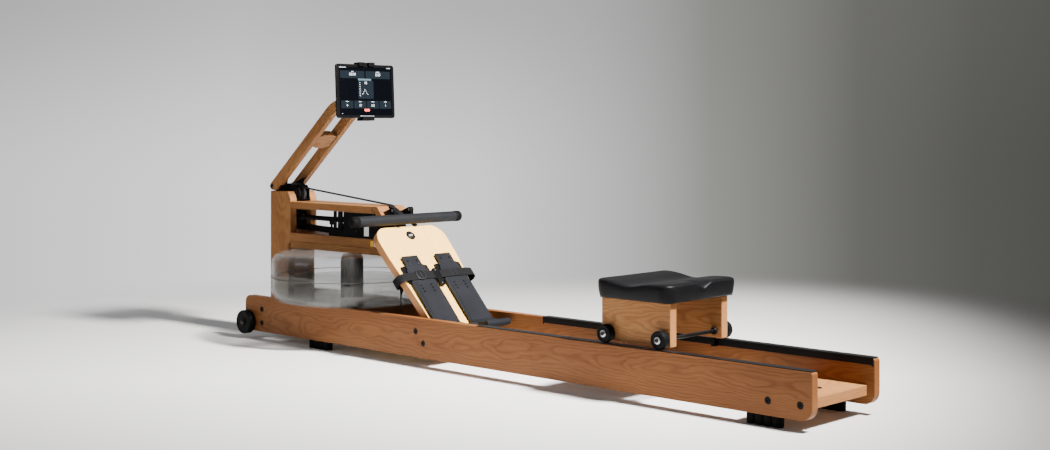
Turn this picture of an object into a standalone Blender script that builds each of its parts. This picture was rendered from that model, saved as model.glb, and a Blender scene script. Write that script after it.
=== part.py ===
"""Water rowing machine, modelled as the separate pieces that it is bolted together from.

Units are metres. +X runs along the rails towards the seat end, +Y is the far side and +Z is up.
The origin is on the floor, under the middle of the machine. Profiles are drawn in the X-Z plane
unless a function says otherwise.
"""

import math

import bmesh
import bpy
from mathutils import Matrix, Vector

GAP = 0.0003  # clearance between pieces that touch

# rails
RAIL_FRONT, RAIL_REAR = -1.0475, 1.0645
RAIL_BOTTOM, RAIL_TOP = 0.025, 0.1355
RAIL_OUTER, RAIL_THICKNESS = 0.145, 0.0235
RAIL_INNER = RAIL_OUTER - RAIL_THICKNESS

# rubber feet: four upright round ribs each, as (middle of the row) along X
FOOT_MIDDLES, FOOT_CENTRE = (-0.6780, 0.9317), 0.1315
FOOT_RIB, FOOT_PITCH = 0.0135, 0.0234

# tracks that the seat rolls on
TRACK_FRONT, TRACK_REAR = 0.0075, 1.0615
TRACK_TOP = RAIL_TOP + 0.002
TRACK_LIP_BOTTOM = 0.1195
STOP_LENGTH, STOP_DROP = 0.004, 0.0035

# cross boards and their bolts, as (x, z) on the outer faces of the rails
FRONT_BOARD_X, BOARD_THICKNESS = -0.9595, 0.0246
FRONT_BOLTS = ((FRONT_BOARD_X, 0.096), (FRONT_BOARD_X, 0.053))
MIDDLE_BOLTS = ((-0.2365, 0.098), (-0.2055, 0.067))
REAR_BOARD = ((0.8800, 0.047), (1.0445, 0.0715))
REAR_BOLTS = ((0.9475, 0.0593), (1.0335, 0.0593))
BOLT_HEAD_HOLE, BOLT_HEAD_DEPTH, BOLT_HOLE, BOLT_REACH = 0.0092, 0.0045, 0.0033, 0.0123

# transport wheels
TRANSPORT_AXIS, TRANSPORT_RADIUS, TRANSPORT_WIDTH = (-1.0275, 0.052), 0.037, 0.025

# tower and decks
TOWER_FRONT, TOWER_REAR = -1.0385, -0.9335
TOWER_OUTER, TOWER_INNER = 0.053, 0.0275
TOWER_BOTTOM, TOWER_TOP = 0.060, 0.465
UPPER_DECK = (0.412, 0.434)
LOWER_DECK = (0.308, 0.335)
CLAMP_BOARD = (0.2875, 0.3077)
DECK_REAR = -0.475
NOSE_TOP, NOSE_BOTTOM = (-0.5095, 0.434), (-0.4735, 0.390)
NOSE_THICKNESS = 0.0285

# tank
TANK_X = -0.6905
TANK_RADIUS, TANK_FLANGE_RADIUS, TANK_WALL = 0.2465, 0.2495, 0.004
TANK_BOTTOM, TANK_SEAM, TANK_TOP = 0.1358, 0.2125, 0.2868
PADDLE_RADIUS = 0.048
PLUG_Y, PLUG_RADIUS = 0.165, 0.014

# drive: pulleys as (x, z), radii to the surface that the strap runs on
STRAP_WIDTH, STRAP_THICKNESS = 0.020, 0.0016
TOWER_PULLEY, TOWER_PULLEY_RADIUS = (-0.9615, 0.4545), 0.0235
LOWER_PULLEY_RADIUS = 0.011
LOWER_PULLEY = (TOWER_PULLEY[0] - TOWER_PULLEY_RADIUS + LOWER_PULLEY_RADIUS, 0.3640)
RECOIL_PULLEY, RECOIL_PULLEY_RADIUS = (-0.9470, 0.3825), 0.011
DRUM_RADIUS, DRUM_FLANGE, SPOOL_RADIUS = 0.040, 0.0455, 0.022
STRAP_Z, BUNGEE_Z, BUNGEE_RADIUS = 0.3519, 0.3825, 0.0055

# handle
HANDLE_AXIS = (-0.4345, 0.398)
HANDLE_RADIUS, HANDLE_HALF_LENGTH = 0.016, 0.2165

# footboard: the top edge of its front face, and how it slopes down from there
BOARD_TOP, BOARD_SLOPE = (-0.4391, 0.3771), math.radians(47.03)
BOARD_LENGTH, BOARD_DEPTH = 0.415, 0.024
FOOT_Y = 0.065

# seat
SEAT_FRONT, SEAT_REAR = 0.4305, 0.6485
SEAT_BOTTOM, SEAT_TOP = 0.143, 0.249
SEAT_OUTER, SEAT_PLATE = 0.117, 0.0244
SEAT_WHEEL_X, SEAT_WHEEL_RADIUS = (0.4545, 0.6265), 0.0225
SEAT_WHEEL_Z = TRACK_TOP + GAP + SEAT_WHEEL_RADIUS
CUSHION_FRONT, CUSHION_REAR, CUSHION_HALF_WIDTH = 0.4275, 0.6625, 0.145
CUSHION_BOTTOM, CUSHION_TOP = 0.2493, 0.2990

# display arm: it leans towards the seat from its pivot
ARM_PIVOT, ARM_SLOPE = (-1.0310, 0.4805), math.radians(40.0)
ARM_ABOVE, ARM_BELOW = 0.012, 0.023
ARM_OUTER, ARM_INNER, SPREADER_MIDDLE = 0.053, 0.035, 0.2490
ARM_STRAIGHT, ARM_BEND_RADIUS, ARM_BEND, ARM_TAIL = 0.375, 0.10, math.radians(30), 0.025

# tablet and its clamp
TABLET_CENTRE = (-0.6270, 0.0, 0.7820)
TABLET_WIDTH, TABLET_HEIGHT, TABLET_DEPTH = 0.236, 0.165, 0.0075
TABLET_YAW, TABLET_TILT = math.radians(1.9), math.radians(2.5)
HOLDER_DEPTH, COLLAR_DROP = 0.014, -0.020
HOLDER_PIVOT = (-0.6880, 0.7455)

OAK = (0.46, 0.27, 0.15)
BIRCH = (0.80, 0.62, 0.42)
BLACK = (0.012, 0.012, 0.013)
GREY = (0.07, 0.07, 0.075)
STEEL = (0.55, 0.55, 0.57)


# ---------------------------------------------------------------- materials and mesh helpers


def material(name, colour, roughness, metallic=0.0, alpha=1.0):
    """A Principled material with one colour and finish."""
    made = bpy.data.materials.new(name)
    made.use_nodes = True
    shader = made.node_tree.nodes["Principled BSDF"]
    shader.inputs["Base Color"].default_value = (*colour, 1.0)
    shader.inputs["Roughness"].default_value = roughness
    shader.inputs["Metallic"].default_value = metallic
    shader.inputs["Alpha"].default_value = alpha
    return made


def add(name, mesh, colour, roughness=0.5, metallic=0.0, alpha=1.0, origin=(0, 0, 0), smooth=None):
    """Makes one object from a bmesh drawn in world coordinates, with its origin moved to origin."""
    bmesh.ops.recalc_face_normals(mesh, faces=mesh.faces)
    bmesh.ops.translate(mesh, vec=-Vector(origin), verts=mesh.verts)
    data = bpy.data.meshes.new(name)
    mesh.to_mesh(data)
    mesh.free()
    if smooth:
        data.shade_smooth()
        data.set_sharp_from_angle(angle=math.radians(smooth))
    made = bpy.data.objects.new(name, data)
    made.location = origin
    bpy.context.scene.collection.objects.link(made)
    data.materials.append(material(name, colour, roughness, metallic, alpha))
    return made


def block(low, high):
    """A box between two corners."""
    mesh = bmesh.new()
    size = Vector(high) - Vector(low)
    middle = (Vector(high) + Vector(low)) / 2
    matrix = Matrix.Translation(middle) @ Matrix.Diagonal((*size, 1.0))
    bmesh.ops.create_cube(mesh, size=1.0, matrix=matrix)
    return mesh


def prism(outline, low, high, to_world=lambda u, v, w: (u, w, v)):
    """An outline of (u, v) points, extruded from w = low to w = high. By default u, w, v are X, Y, Z."""
    mesh = bmesh.new()
    face = mesh.faces.new([mesh.verts.new(to_world(u, v, low)) for u, v in outline])
    shift = Vector(to_world(0, 0, high)) - Vector(to_world(0, 0, low))
    moved = bmesh.ops.extrude_face_region(mesh, geom=[face])["geom"]
    verts = [item for item in moved if isinstance(item, bmesh.types.BMVert)]
    bmesh.ops.translate(mesh, vec=shift, verts=verts)
    return mesh


def turned(profile, centre, axis="Z", segments=24):
    """A closed profile of (radius, height) points, turned about an axis through centre."""
    mesh = bmesh.new()
    verts = [mesh.verts.new((radius, 0.0, height)) for radius, height in profile]
    edges = [mesh.edges.new(pair) for pair in zip(verts, verts[1:] + verts[:1])]
    bmesh.ops.spin(
        mesh, geom=verts + edges, cent=(0, 0, 0), axis=(0, 0, 1), dvec=(0, 0, 0),
        angle=math.tau, steps=segments, use_merge=True,
    )
    bmesh.ops.remove_doubles(mesh, verts=mesh.verts, dist=1e-6)
    bmesh.ops.dissolve_degenerate(mesh, dist=1e-7, edges=mesh.edges)
    turn = {
        "X": Matrix.Rotation(math.pi / 2, 4, "Y"), "Y": Matrix.Rotation(-math.pi / 2, 4, "X"), "Z": Matrix(),
    }
    bmesh.ops.transform(mesh, matrix=Matrix.Translation(centre) @ turn[axis], verts=mesh.verts)
    return mesh


def rod(start, end, radius, segments=16):
    """A round bar between two points."""
    line = Vector(end) - Vector(start)
    turn = line.to_track_quat("Z", "Y").to_matrix().to_4x4()
    matrix = Matrix.Translation((Vector(start) + Vector(end)) / 2) @ turn
    mesh = bmesh.new()
    bmesh.ops.create_cone(
        mesh, cap_ends=True, segments=segments, radius1=radius, radius2=radius, depth=line.length,
        matrix=matrix,
    )
    return mesh


def band(stations, width, thickness):
    """A flat strip through (point, width direction, thickness direction) stations, closed at both ends."""
    mesh = bmesh.new()
    rings = []
    for point, across, out in stations:
        half_width = Vector(across).normalized() * width / 2
        half_depth = Vector(out).normalized() * thickness / 2
        corners = (
            half_width + half_depth, half_depth - half_width,
            -half_width - half_depth, half_width - half_depth,
        )
        rings.append([mesh.verts.new(Vector(point) + corner) for corner in corners])
    for first, second in zip(rings, rings[1:]):
        for n in range(4):
            mesh.faces.new((first[n], first[(n + 1) % 4], second[(n + 1) % 4], second[n]))
    mesh.faces.new(rings[0])
    mesh.faces.new(rings[-1])
    return mesh


def mirrored(mesh):
    """The same solid on the other side of the machine."""
    twin = mesh.copy()
    bmesh.ops.scale(twin, vec=(1, -1, 1), verts=twin.verts)
    bmesh.ops.reverse_faces(twin, faces=twin.faces)
    return twin


def apply_modifiers(target):
    """Turns the object's modifiers into its mesh."""
    bpy.context.view_layer.update()
    evaluated = target.evaluated_get(bpy.context.evaluated_depsgraph_get())
    result = bpy.data.meshes.new_from_object(evaluated)
    target.modifiers.clear()
    target.data = result


def combine(target, mesh, operation):
    """Cuts a bmesh drawn in world coordinates out of target, or unites it with target."""
    bmesh.ops.recalc_face_normals(mesh, faces=mesh.faces)
    data = bpy.data.meshes.new("tool")
    mesh.to_mesh(data)
    mesh.free()
    tool = bpy.data.objects.new("tool", data)
    bpy.context.scene.collection.objects.link(tool)
    boolean = target.modifiers.new("shape", "BOOLEAN")
    boolean.operation = operation
    boolean.solver = "EXACT"
    boolean.object = tool
    apply_modifiers(target)
    bpy.data.objects.remove(tool)


def round_edges(target, width, segments=1, angle=40):
    """Rounds the edges sharper than angle."""
    bevel = target.modifiers.new("round", "BEVEL")
    bevel.width = width
    bevel.segments = segments
    bevel.limit_method = "ANGLE"
    bevel.angle_limit = math.radians(angle)
    apply_modifiers(target)


def arc(centre, radius, start, end, steps):
    """Points on an arc, from start to end in degrees."""
    angles = [math.radians(start + (end - start) * n / steps) for n in range(steps + 1)]
    return [(centre[0] + radius * math.cos(a), centre[1] + radius * math.sin(a)) for a in angles]


def along(point, angle, distance, side=0.0):
    """The point at a distance along a slope, and side to the left of it."""
    u = point[0] + distance * math.cos(angle) - side * math.sin(angle)
    v = point[1] + distance * math.sin(angle) + side * math.cos(angle)
    return u, v


def on_board(distance, y, height):
    """A point on the footboard: distance down its front face, y across and height off the face."""
    x, z = along(BOARD_TOP, -BOARD_SLOPE, distance, height)
    return x, y, z


# ---------------------------------------------------------------- frame


def rail_cutters(side):
    """The bolt holes and the axle hole of one rail."""
    outer = side * (RAIL_OUTER + 0.002)
    cutters = []
    for x, z in FRONT_BOLTS + MIDDLE_BOLTS + REAR_BOLTS:
        floor = side * (RAIL_OUTER - BOLT_HEAD_DEPTH)
        cutters.append(rod((x, outer, z), (x, floor, z), BOLT_HEAD_HOLE, 12))
        cutters.append(rod((x, outer, z), (x, side * 0.10, z), BOLT_HOLE, 12))
    x, z = TRANSPORT_AXIS
    cutters.append(rod((x, outer, z), (x, side * 0.10, z), 0.0053, 12))
    return cutters


def make_rails():
    front_corner, rear_corner, small = 0.022, 0.030, 0.006
    outline = (
        arc((RAIL_FRONT + small, RAIL_BOTTOM + small), small, 180, 270, 2)
        + arc((RAIL_REAR - rear_corner, RAIL_BOTTOM + rear_corner), rear_corner, 270, 360, 6)
        + arc((RAIL_REAR - small, RAIL_TOP - small), small, 0, 90, 2)
        + arc((RAIL_FRONT + front_corner, RAIL_TOP - front_corner), front_corner, 90, 180, 6)
    )
    for name, side in (("rail_near", -1), ("rail_far", 1)):
        low, high = sorted((side * RAIL_INNER, side * RAIL_OUTER))
        rail = add(name, prism(outline, low, high), OAK, 0.45)
        round_edges(rail, 0.0012)
        for cutter in rail_cutters(side):
            combine(rail, cutter, "DIFFERENCE")


def cross_board(name, mesh, bolts):
    """A board between the rails, with a blind hole in each end for each bolt."""
    board = add(name, mesh, OAK, 0.45)
    round_edges(board, 0.0012)
    for x, z in bolts:
        for side in (-1, 1):
            inner = side * (RAIL_INNER - BOLT_REACH)
            hole = rod((x, side * RAIL_OUTER, z), (x, inner, z), BOLT_HOLE, 12)
            combine(board, hole, "DIFFERENCE")
    return board


def make_cross_boards():
    reach = RAIL_INNER - GAP
    half = BOARD_THICKNESS / 2
    front = block((FRONT_BOARD_X - half, -reach, 0.035), (FRONT_BOARD_X + half, reach, 0.115))
    cross_board("front_cross_board", front, FRONT_BOLTS)
    rear = block((REAR_BOARD[0][0], -reach, REAR_BOARD[0][1]), (REAR_BOARD[1][0], reach, REAR_BOARD[1][1]))
    cross_board("rear_cross_board", rear, REAR_BOLTS)
    corners = ((0.318, -0.0243), (0.412, -0.0243), (0.412, -0.0560), (0.318, -0.0560))
    outline = [(on_board(s, 0, h)[0], on_board(s, 0, h)[2]) for s, h in corners]
    cross_board("footboard_cross_bar", prism(outline, -reach, reach), MIDDLE_BOLTS)


def make_feet():
    """Rubber blocks under the rails. Each one is four upright round ribs run together."""
    meet = math.degrees(math.acos(FOOT_PITCH / 2 / FOOT_RIB))
    for place, middle in zip(("front", "rear"), FOOT_MIDDLES):
        side = [(middle - 1.5 * FOOT_PITCH - FOOT_RIB, FOOT_CENTRE)]
        for n in range(4):
            centre = (middle + (n - 1.5) * FOOT_PITCH, FOOT_CENTRE)
            start, end = 180 if n == 0 else 180 - meet, 0 if n == 3 else meet
            side += arc(centre, FOOT_RIB, start, end, 6)[1:]
        outline = side + [(x, 2 * FOOT_CENTRE - y) for x, y in side[-2:0:-1]]
        foot = prism(outline, 0.0, RAIL_BOTTOM - GAP, lambda u, v, w: (u, v, w))
        add(f"rubber_foot_{place}_near", mirrored(foot), BLACK, 0.8)
        add(f"rubber_foot_{place}_far", foot, BLACK, 0.8)


def make_tracks():
    """A strip on each rail: a flat top that the wheels roll on, and a lip with a stop tab at each end."""
    floor = RAIL_TOP + GAP
    lip = RAIL_INNER - GAP
    thickness = 0.0020
    outline = [
        (lip - thickness, TRACK_LIP_BOTTOM), (lip, TRACK_LIP_BOTTOM), (lip, floor),
        (RAIL_OUTER - 0.001, floor), (RAIL_OUTER - 0.001, TRACK_TOP), (lip - thickness, TRACK_TOP),
    ]
    for name, side in (("track_near", -1), ("track_far", 1)):
        section = [(side * y, z) for y, z in outline]
        mesh = prism(section, TRACK_FRONT, TRACK_REAR, lambda u, v, w: (w, u, v))
        track = add(name, mesh, BLACK, 0.35, 0.3)
        near, far = sorted((side * (lip - thickness), side * lip))
        low, high = TRACK_LIP_BOTTOM - STOP_DROP, TRACK_LIP_BOTTOM + 0.001
        for start in (TRACK_FRONT, TRACK_REAR - STOP_LENGTH):
            combine(track, block((start, near, low), (start + STOP_LENGTH, far, high)), "UNION")


def make_transport_wheels():
    x, z = TRANSPORT_AXIS
    inner = RAIL_OUTER + 0.0006
    outer = inner + TRANSPORT_WIDTH
    bore, radius = 0.0053, TRANSPORT_RADIUS
    profile = [
        (bore, inner), (0.016, inner), (0.020, inner + 0.003), (radius - 0.008, inner + 0.003),
        (radius - 0.006, inner + 0.0005), (radius - 0.002, inner + 0.0005), (radius, inner + 0.003),
        (radius, outer - 0.003), (radius - 0.002, outer - 0.0005), (radius - 0.006, outer - 0.0005),
        (radius - 0.008, outer - 0.003), (0.013, outer - 0.003), (0.011, outer - 0.001),
        (bore, outer - 0.001),
    ]
    wheel = turned(profile, (x, 0, z), "Y", 24)
    add("transport_wheel_near", mirrored(wheel), BLACK, 0.6, origin=(x, -inner, z), smooth=35)
    add("transport_wheel_far", wheel, BLACK, 0.6, origin=(x, inner, z), smooth=35)
    half = [(0.0050, outer - 0.0006), (0.0085, outer - 0.0006), (0.0075, outer + 0.0020), (0, outer + 0.0028)]
    profile = [(radius, -y) for radius, y in half[::-1]] + half
    add("transport_axle", turned(profile, (x, 0, z), "Y", 16), STEEL, 0.4, 0.9, smooth=40)


# ---------------------------------------------------------------- tower and decks


def make_uprights():
    """Two posts that straddle the front cross board, cut back a little where the tank stands."""
    slot = BOARD_THICKNESS / 2 + GAP
    relief = 0.0105
    outline = [
        (TOWER_FRONT, TOWER_BOTTOM), (FRONT_BOARD_X - slot, TOWER_BOTTOM), (FRONT_BOARD_X - slot, 0.1153),
        (FRONT_BOARD_X + slot, 0.1153), (FRONT_BOARD_X + slot, 0.1340), (TOWER_REAR - relief, 0.1340),
        (TOWER_REAR - relief, 0.2980), (TOWER_REAR, 0.3070),
    ]
    outline += [(TOWER_REAR, 0.4400), (TOWER_REAR - 0.0040, 0.4520), (TOWER_REAR - 0.0135, TOWER_TOP)]
    outline += [(TOWER_FRONT, TOWER_TOP)]
    for name, side in (("upright_near", -1), ("upright_far", 1)):
        low, high = sorted((side * TOWER_INNER, side * TOWER_OUTER))
        upright = add(name, prism(outline, low, high), OAK, 0.45)
        round_edges(upright, 0.0012)


def make_decks():
    """The top deck with its sloping nose, and the two boards that hold the tank down."""
    front = TOWER_REAR + GAP
    shaft_hole = 0.0125
    mitre = math.atan2(NOSE_TOP[1] - NOSE_BOTTOM[1], NOSE_TOP[0] - NOSE_BOTTOM[0])
    back = NOSE_TOP[0] - NOSE_THICKNESS
    drop = (UPPER_DECK[0] - UPPER_DECK[1]) / math.tan(mitre)
    top = [
        (front, UPPER_DECK[0]), (back + drop - GAP, UPPER_DECK[0]), (back - GAP, UPPER_DECK[1]),
        (front, UPPER_DECK[1]),
    ]
    upper = add("upper_deck", prism(top, -TOWER_OUTER, TOWER_OUTER), OAK, 0.45)
    round_edges(upper, 0.0012)
    nose_bottom_back = NOSE_BOTTOM[0] - NOSE_THICKNESS
    nose = [(nose_bottom_back, NOSE_BOTTOM[1]), NOSE_BOTTOM, NOSE_TOP, (back, NOSE_TOP[1])]
    board = add("deck_nose_board", prism(nose, -TOWER_OUTER, TOWER_OUTER), OAK, 0.45)
    round_edges(board, 0.0012)
    for name, (low, high) in (("lower_deck", LOWER_DECK), ("tank_clamp_board", CLAMP_BOARD)):
        deck = add(name, block((front, -TOWER_OUTER, low), (DECK_REAR, TOWER_OUTER, high)), OAK, 0.45)
        round_edges(deck, 0.0012)
        hole = rod((TANK_X, 0, low - 0.01), (TANK_X, 0, high + 0.01), shaft_hole, 16)
        combine(deck, hole, "DIFFERENCE")


def make_handle_rest():
    """Two curled hooks on one plate across the nose. The handle lies against their lower curve."""
    hx, hz = HANDLE_AXIS
    clear = HANDLE_RADIUS + GAP
    outer = clear + 0.0055
    slope = math.atan2(NOSE_BOTTOM[1] - NOSE_TOP[1], NOSE_BOTTOM[0] - NOSE_TOP[0])
    low, high = along(NOSE_TOP, slope, 0.054, GAP), along(NOSE_TOP, slope, 0.020, GAP)
    plate = [low, along(NOSE_TOP, slope, 0.054, 0.0025), along(NOSE_TOP, slope, 0.020, 0.0025), high]
    rest = add("handle_rest", prism(plate, -0.040, 0.040), BLACK, 0.4)
    curl = (-0.4570, 0.4245)
    outline = [along(NOSE_TOP, slope, 0.053, 0.0012)]
    outline += arc((hx, hz), outer, 205, 278, 6)
    outline += arc((hx, hz), clear, 278, 150, 8)
    outline += arc(curl, 0.0085, -30, 125, 8)
    outline += [along(NOSE_TOP, slope, 0.021, 0.0012)]
    for side in (-1, 1):
        start, end = sorted((side * 0.027, side * 0.039))
        combine(rest, prism(outline, start, end), "UNION")
        hole = rod((curl[0], side * 0.020, curl[1]), (curl[0], side * 0.050, curl[1]), 0.0042, 10)
        combine(rest, hole, "DIFFERENCE")


# ---------------------------------------------------------------- tank and impeller


def shell_profile(outside, wall_z, seam_z, flange, hole):
    """The section of one tank half, from the hole in its flat end to its flange."""
    up = 1 if seam_z > wall_z else -1
    corner = 0.034
    flat = outside - corner
    inside = outside - TANK_WALL
    outer_arc = arc((flat, wall_z + up * corner), corner, -90 * up, 0, 6)
    inner_arc = arc((flat, wall_z + up * corner), corner - TANK_WALL, 0, -90 * up, 5)
    lip = seam_z - up * 0.003
    rim = [(outside, lip), (flange, lip), (flange, seam_z), (inside, seam_z)]
    profile = [(hole, wall_z)] + outer_arc + rim
    return profile + inner_arc + [(hole, wall_z + up * TANK_WALL)]


def make_tank():
    centre = (TANK_X, 0, 0)
    low = shell_profile(TANK_RADIUS, TANK_BOTTOM, TANK_SEAM, TANK_FLANGE_RADIUS, 0)
    add("tank_lower_shell", turned(low, centre, "Z", 40), (0.75, 0.78, 0.78), 0.08, alpha=0.35, smooth=40)
    high = shell_profile(TANK_RADIUS, TANK_TOP, TANK_SEAM + GAP, TANK_FLANGE_RADIUS, 0.0175)
    upper = add(
        "tank_upper_shell", turned(high, centre, "Z", 40), (0.75, 0.78, 0.78), 0.08, alpha=0.35, smooth=40,
    )
    filler = rod((TANK_X, PLUG_Y, TANK_TOP - 0.01), (TANK_X, PLUG_Y, TANK_TOP + 0.01), PLUG_RADIUS + GAP, 20)
    combine(upper, filler, "DIFFERENCE")
    plug = [(0, TANK_TOP - 0.007), (PLUG_RADIUS - 0.002, TANK_TOP - 0.007), (PLUG_RADIUS, TANK_TOP - 0.004)]
    plug += [(PLUG_RADIUS, TANK_TOP + GAP), (PLUG_RADIUS + 0.004, TANK_TOP + GAP)]
    plug += [(PLUG_RADIUS + 0.004, TANK_TOP + 0.003), (PLUG_RADIUS, TANK_TOP + 0.005), (0, TANK_TOP + 0.006)]
    spot = (TANK_X, PLUG_Y, 0)
    add("tank_plug", turned(plug, spot, "Z", 20), BLACK, 0.7, origin=(TANK_X, PLUG_Y, TANK_TOP), smooth=40)


def make_impeller():
    """A shaft through the tank lid with a hub and four upright paddles."""
    low, high = TANK_BOTTOM + TANK_WALL + 0.004, TANK_TOP - TANK_WALL - 0.004
    shaft = [(0, low), (0.013, low), (0.013, high), (0.008, high), (0.008, 0.3960), (0, 0.3960)]
    origin = (TANK_X, 0, TANK_SEAM)
    impeller = add("impeller", turned(shaft, (TANK_X, 0, 0), "Z", 16), GREY, 0.4, origin=origin)
    corner = 0.022
    outline = [(-PADDLE_RADIUS, low + 0.002), (PADDLE_RADIUS, low + 0.002)]
    outline += arc((PADDLE_RADIUS - corner, high - corner), corner, 0, 90, 4)
    outline += arc((corner - PADDLE_RADIUS, high - corner), corner, 90, 180, 4)
    for turn in (5, 95):
        paddle = prism(outline, -0.002, 0.002)
        place = Matrix.Translation((TANK_X, 0, 0)) @ Matrix.Rotation(math.radians(turn), 4, "Z")
        bmesh.ops.transform(paddle, matrix=place, verts=paddle.verts)
        combine(impeller, paddle, "UNION")
    bearing = [(0.0083, TANK_TOP - 0.0035), (0.0172, TANK_TOP - 0.0035), (0.0172, TANK_TOP + GAP)]
    bearing += [(0.0120, TANK_TOP + GAP), (0.0120, 0.3050), (0.0083, 0.3050)]
    add("shaft_bearing", turned(bearing, (TANK_X, 0, 0), "Z", 20), STEEL, 0.3, 0.9, smooth=40)


# ---------------------------------------------------------------- drive


def grooved(radius, flange, low, high, bore, rim=0.002):
    """The section of a pulley: a groove between two flanges, around a bore."""
    return [
        (bore, low), (flange, low), (flange, low + rim * 0.6), (radius, low + rim), (radius, high - rim),
        (flange, high - rim * 0.6), (flange, high), (bore, high),
    ]


def make_drive():
    """The clutch drum on the impeller shaft, the pulleys in the tower and their axles."""
    drum = [
        (0.0083, 0.3385), (DRUM_FLANGE, 0.3385), (DRUM_FLANGE, 0.3402), (DRUM_RADIUS, 0.3410),
        (DRUM_RADIUS, 0.3628), (DRUM_FLANGE, 0.3636), (DRUM_FLANGE, 0.3655), (SPOOL_RADIUS, 0.3760),
        (SPOOL_RADIUS, 0.3890), (0.028, 0.3925), (0.028, 0.3940), (0.0083, 0.3940),
    ]
    centre = (TANK_X, 0, 0)
    add("clutch_drum", turned(drum, centre, "Z", 24), BLACK, 0.5, origin=(TANK_X, 0, STRAP_Z), smooth=35)
    top_x, top_z = TOWER_PULLEY
    wheel = grooved(TOWER_PULLEY_RADIUS, 0.0262, -0.0130, 0.0130, 0.0043)
    top = (top_x, 0, top_z)
    add("tower_pulley", turned(wheel, top, "Y", 24), GREY, 0.4, origin=top, smooth=35)
    low_x, low_z = LOWER_PULLEY
    roller = grooved(LOWER_PULLEY_RADIUS, 0.0128, -0.0130, 0.0130, 0.0033, 0.0012)
    low = (low_x, 0, low_z)
    add("lower_pulley", turned(roller, low, "Y", 20), GREY, 0.4, origin=low, smooth=35)
    back_x, back_z = RECOIL_PULLEY
    recoil = grooved(RECOIL_PULLEY_RADIUS, 0.0140, back_z - 0.0085, back_z + 0.0085, 0.0028, 0.0025)
    back = (back_x, 0, back_z)
    add("recoil_pulley", turned(recoil, (back_x, 0, 0), "Z", 20), GREY, 0.4, origin=back, smooth=35)
    half = TOWER_INNER - 0.0005
    axle = rod((top_x, -half, top_z), (top_x, half, top_z), 0.0040, 12)
    add("tower_pulley_axle", axle, STEEL, 0.35, 0.9, smooth=40)


def make_tower_bracket():
    """A folded cover between the uprights: its cheeks carry the strap pulleys, a web the recoil pulley."""
    front, rear, low = -1.0180, -0.9365, LOWER_DECK[1] + 0.003
    cheek, wall, step = TOWER_INNER - 0.0008, 0.0022, UPPER_DECK[0] - 0.010
    dome = arc((-0.9790, 0.4590), 0.0315, 55, 165, 7)
    outline = [(front, low), (-0.9560, low), (-0.9560, step), (rear, step), (rear, 0.4700), (-0.9500, 0.4850)]
    outline += dome + [(front, 0.4600)]
    cover = add("tower_bracket", prism(outline, -cheek, cheek), BLACK, 0.45)
    hollow = [(front - 0.01, low - 0.01), (rear + 0.01, low - 0.01), (rear + 0.01, 0.4815), (-0.9560, 0.4815)]
    hollow += arc((-0.9790, 0.4590), 0.0290, 50, 165, 7) + [(front - 0.01, 0.4560)]
    combine(cover, prism(hollow, wall - cheek, cheek - wall), "DIFFERENCE")
    x, z = TOWER_PULLEY
    combine(cover, rod((x, -0.04, z), (x, 0.04, z), 0.0043, 12), "DIFFERENCE")
    x, z = LOWER_PULLEY
    combine(cover, rod((x, -cheek, z), (x, cheek, z), 0.0030, 12), "UNION")
    x, z = RECOIL_PULLEY
    web = block((-0.9555, -cheek + 0.001, step), (rear - 0.0005, cheek - 0.001, step + 0.0022))
    combine(cover, web, "UNION")
    combine(cover, rod((x, 0, z - 0.0100), (x, 0, step + 0.001), 0.0025, 12), "UNION")
    combine(cover, rod((x, 0, z - 0.0115), (x, 0, z - 0.0090), 0.0050, 12), "UNION")


def make_drum_bracket():
    """The black carrier around the drum: a floor plate, two cheeks with their posts, the recoil block."""
    floor, ceiling = LOWER_DECK[1] + GAP, UPPER_DECK[0] - GAP
    plate_top, sill, under_nose = floor + 0.0026, 0.3540, NOSE_BOTTOM[1] - 0.0010
    front, rear, foot = -0.7400, -0.4975, floor + 0.0010
    bracket = add("drum_bracket", block((front, -0.0523, floor), (rear, 0.0523, plate_top)), BLACK, 0.5)
    hole = rod((TANK_X, 0, floor - 0.01), (TANK_X, 0, plate_top + 0.01), 0.0125, 16)
    combine(bracket, hole, "DIFFERENCE")
    back = [(-0.5235, ceiling), (-0.5055, under_nose), (rear, under_nose), (rear, foot)]
    cheek = [(front, foot), (front, sill)]
    for start, end in ((-0.7170, -0.7040), (-0.6960, -0.6750)):
        cheek += [(start, sill), (start, ceiling), (end, ceiling), (end, sill)]
    cheek += [(-0.6690, sill), (-0.6690, ceiling)] + back
    for side in (-1, 1):
        low, high = sorted((side * 0.0487, side * 0.0522))
        combine(bracket, prism(cheek, low, high), "UNION")
    combine(bracket, prism([(-0.6180, foot), (-0.6180, ceiling)] + back, -0.0495, 0.0495), "UNION")


def wrap(centre, radius, start, end, steps):
    """Strap stations round a pulley whose axis is along Y, from start to end in degrees."""
    stations = []
    for x, z in arc(centre, radius, start, end, steps):
        stations.append(((x, 0, z), (0, 1, 0), (x - centre[0], 0, z - centre[1])))
    return stations


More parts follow.
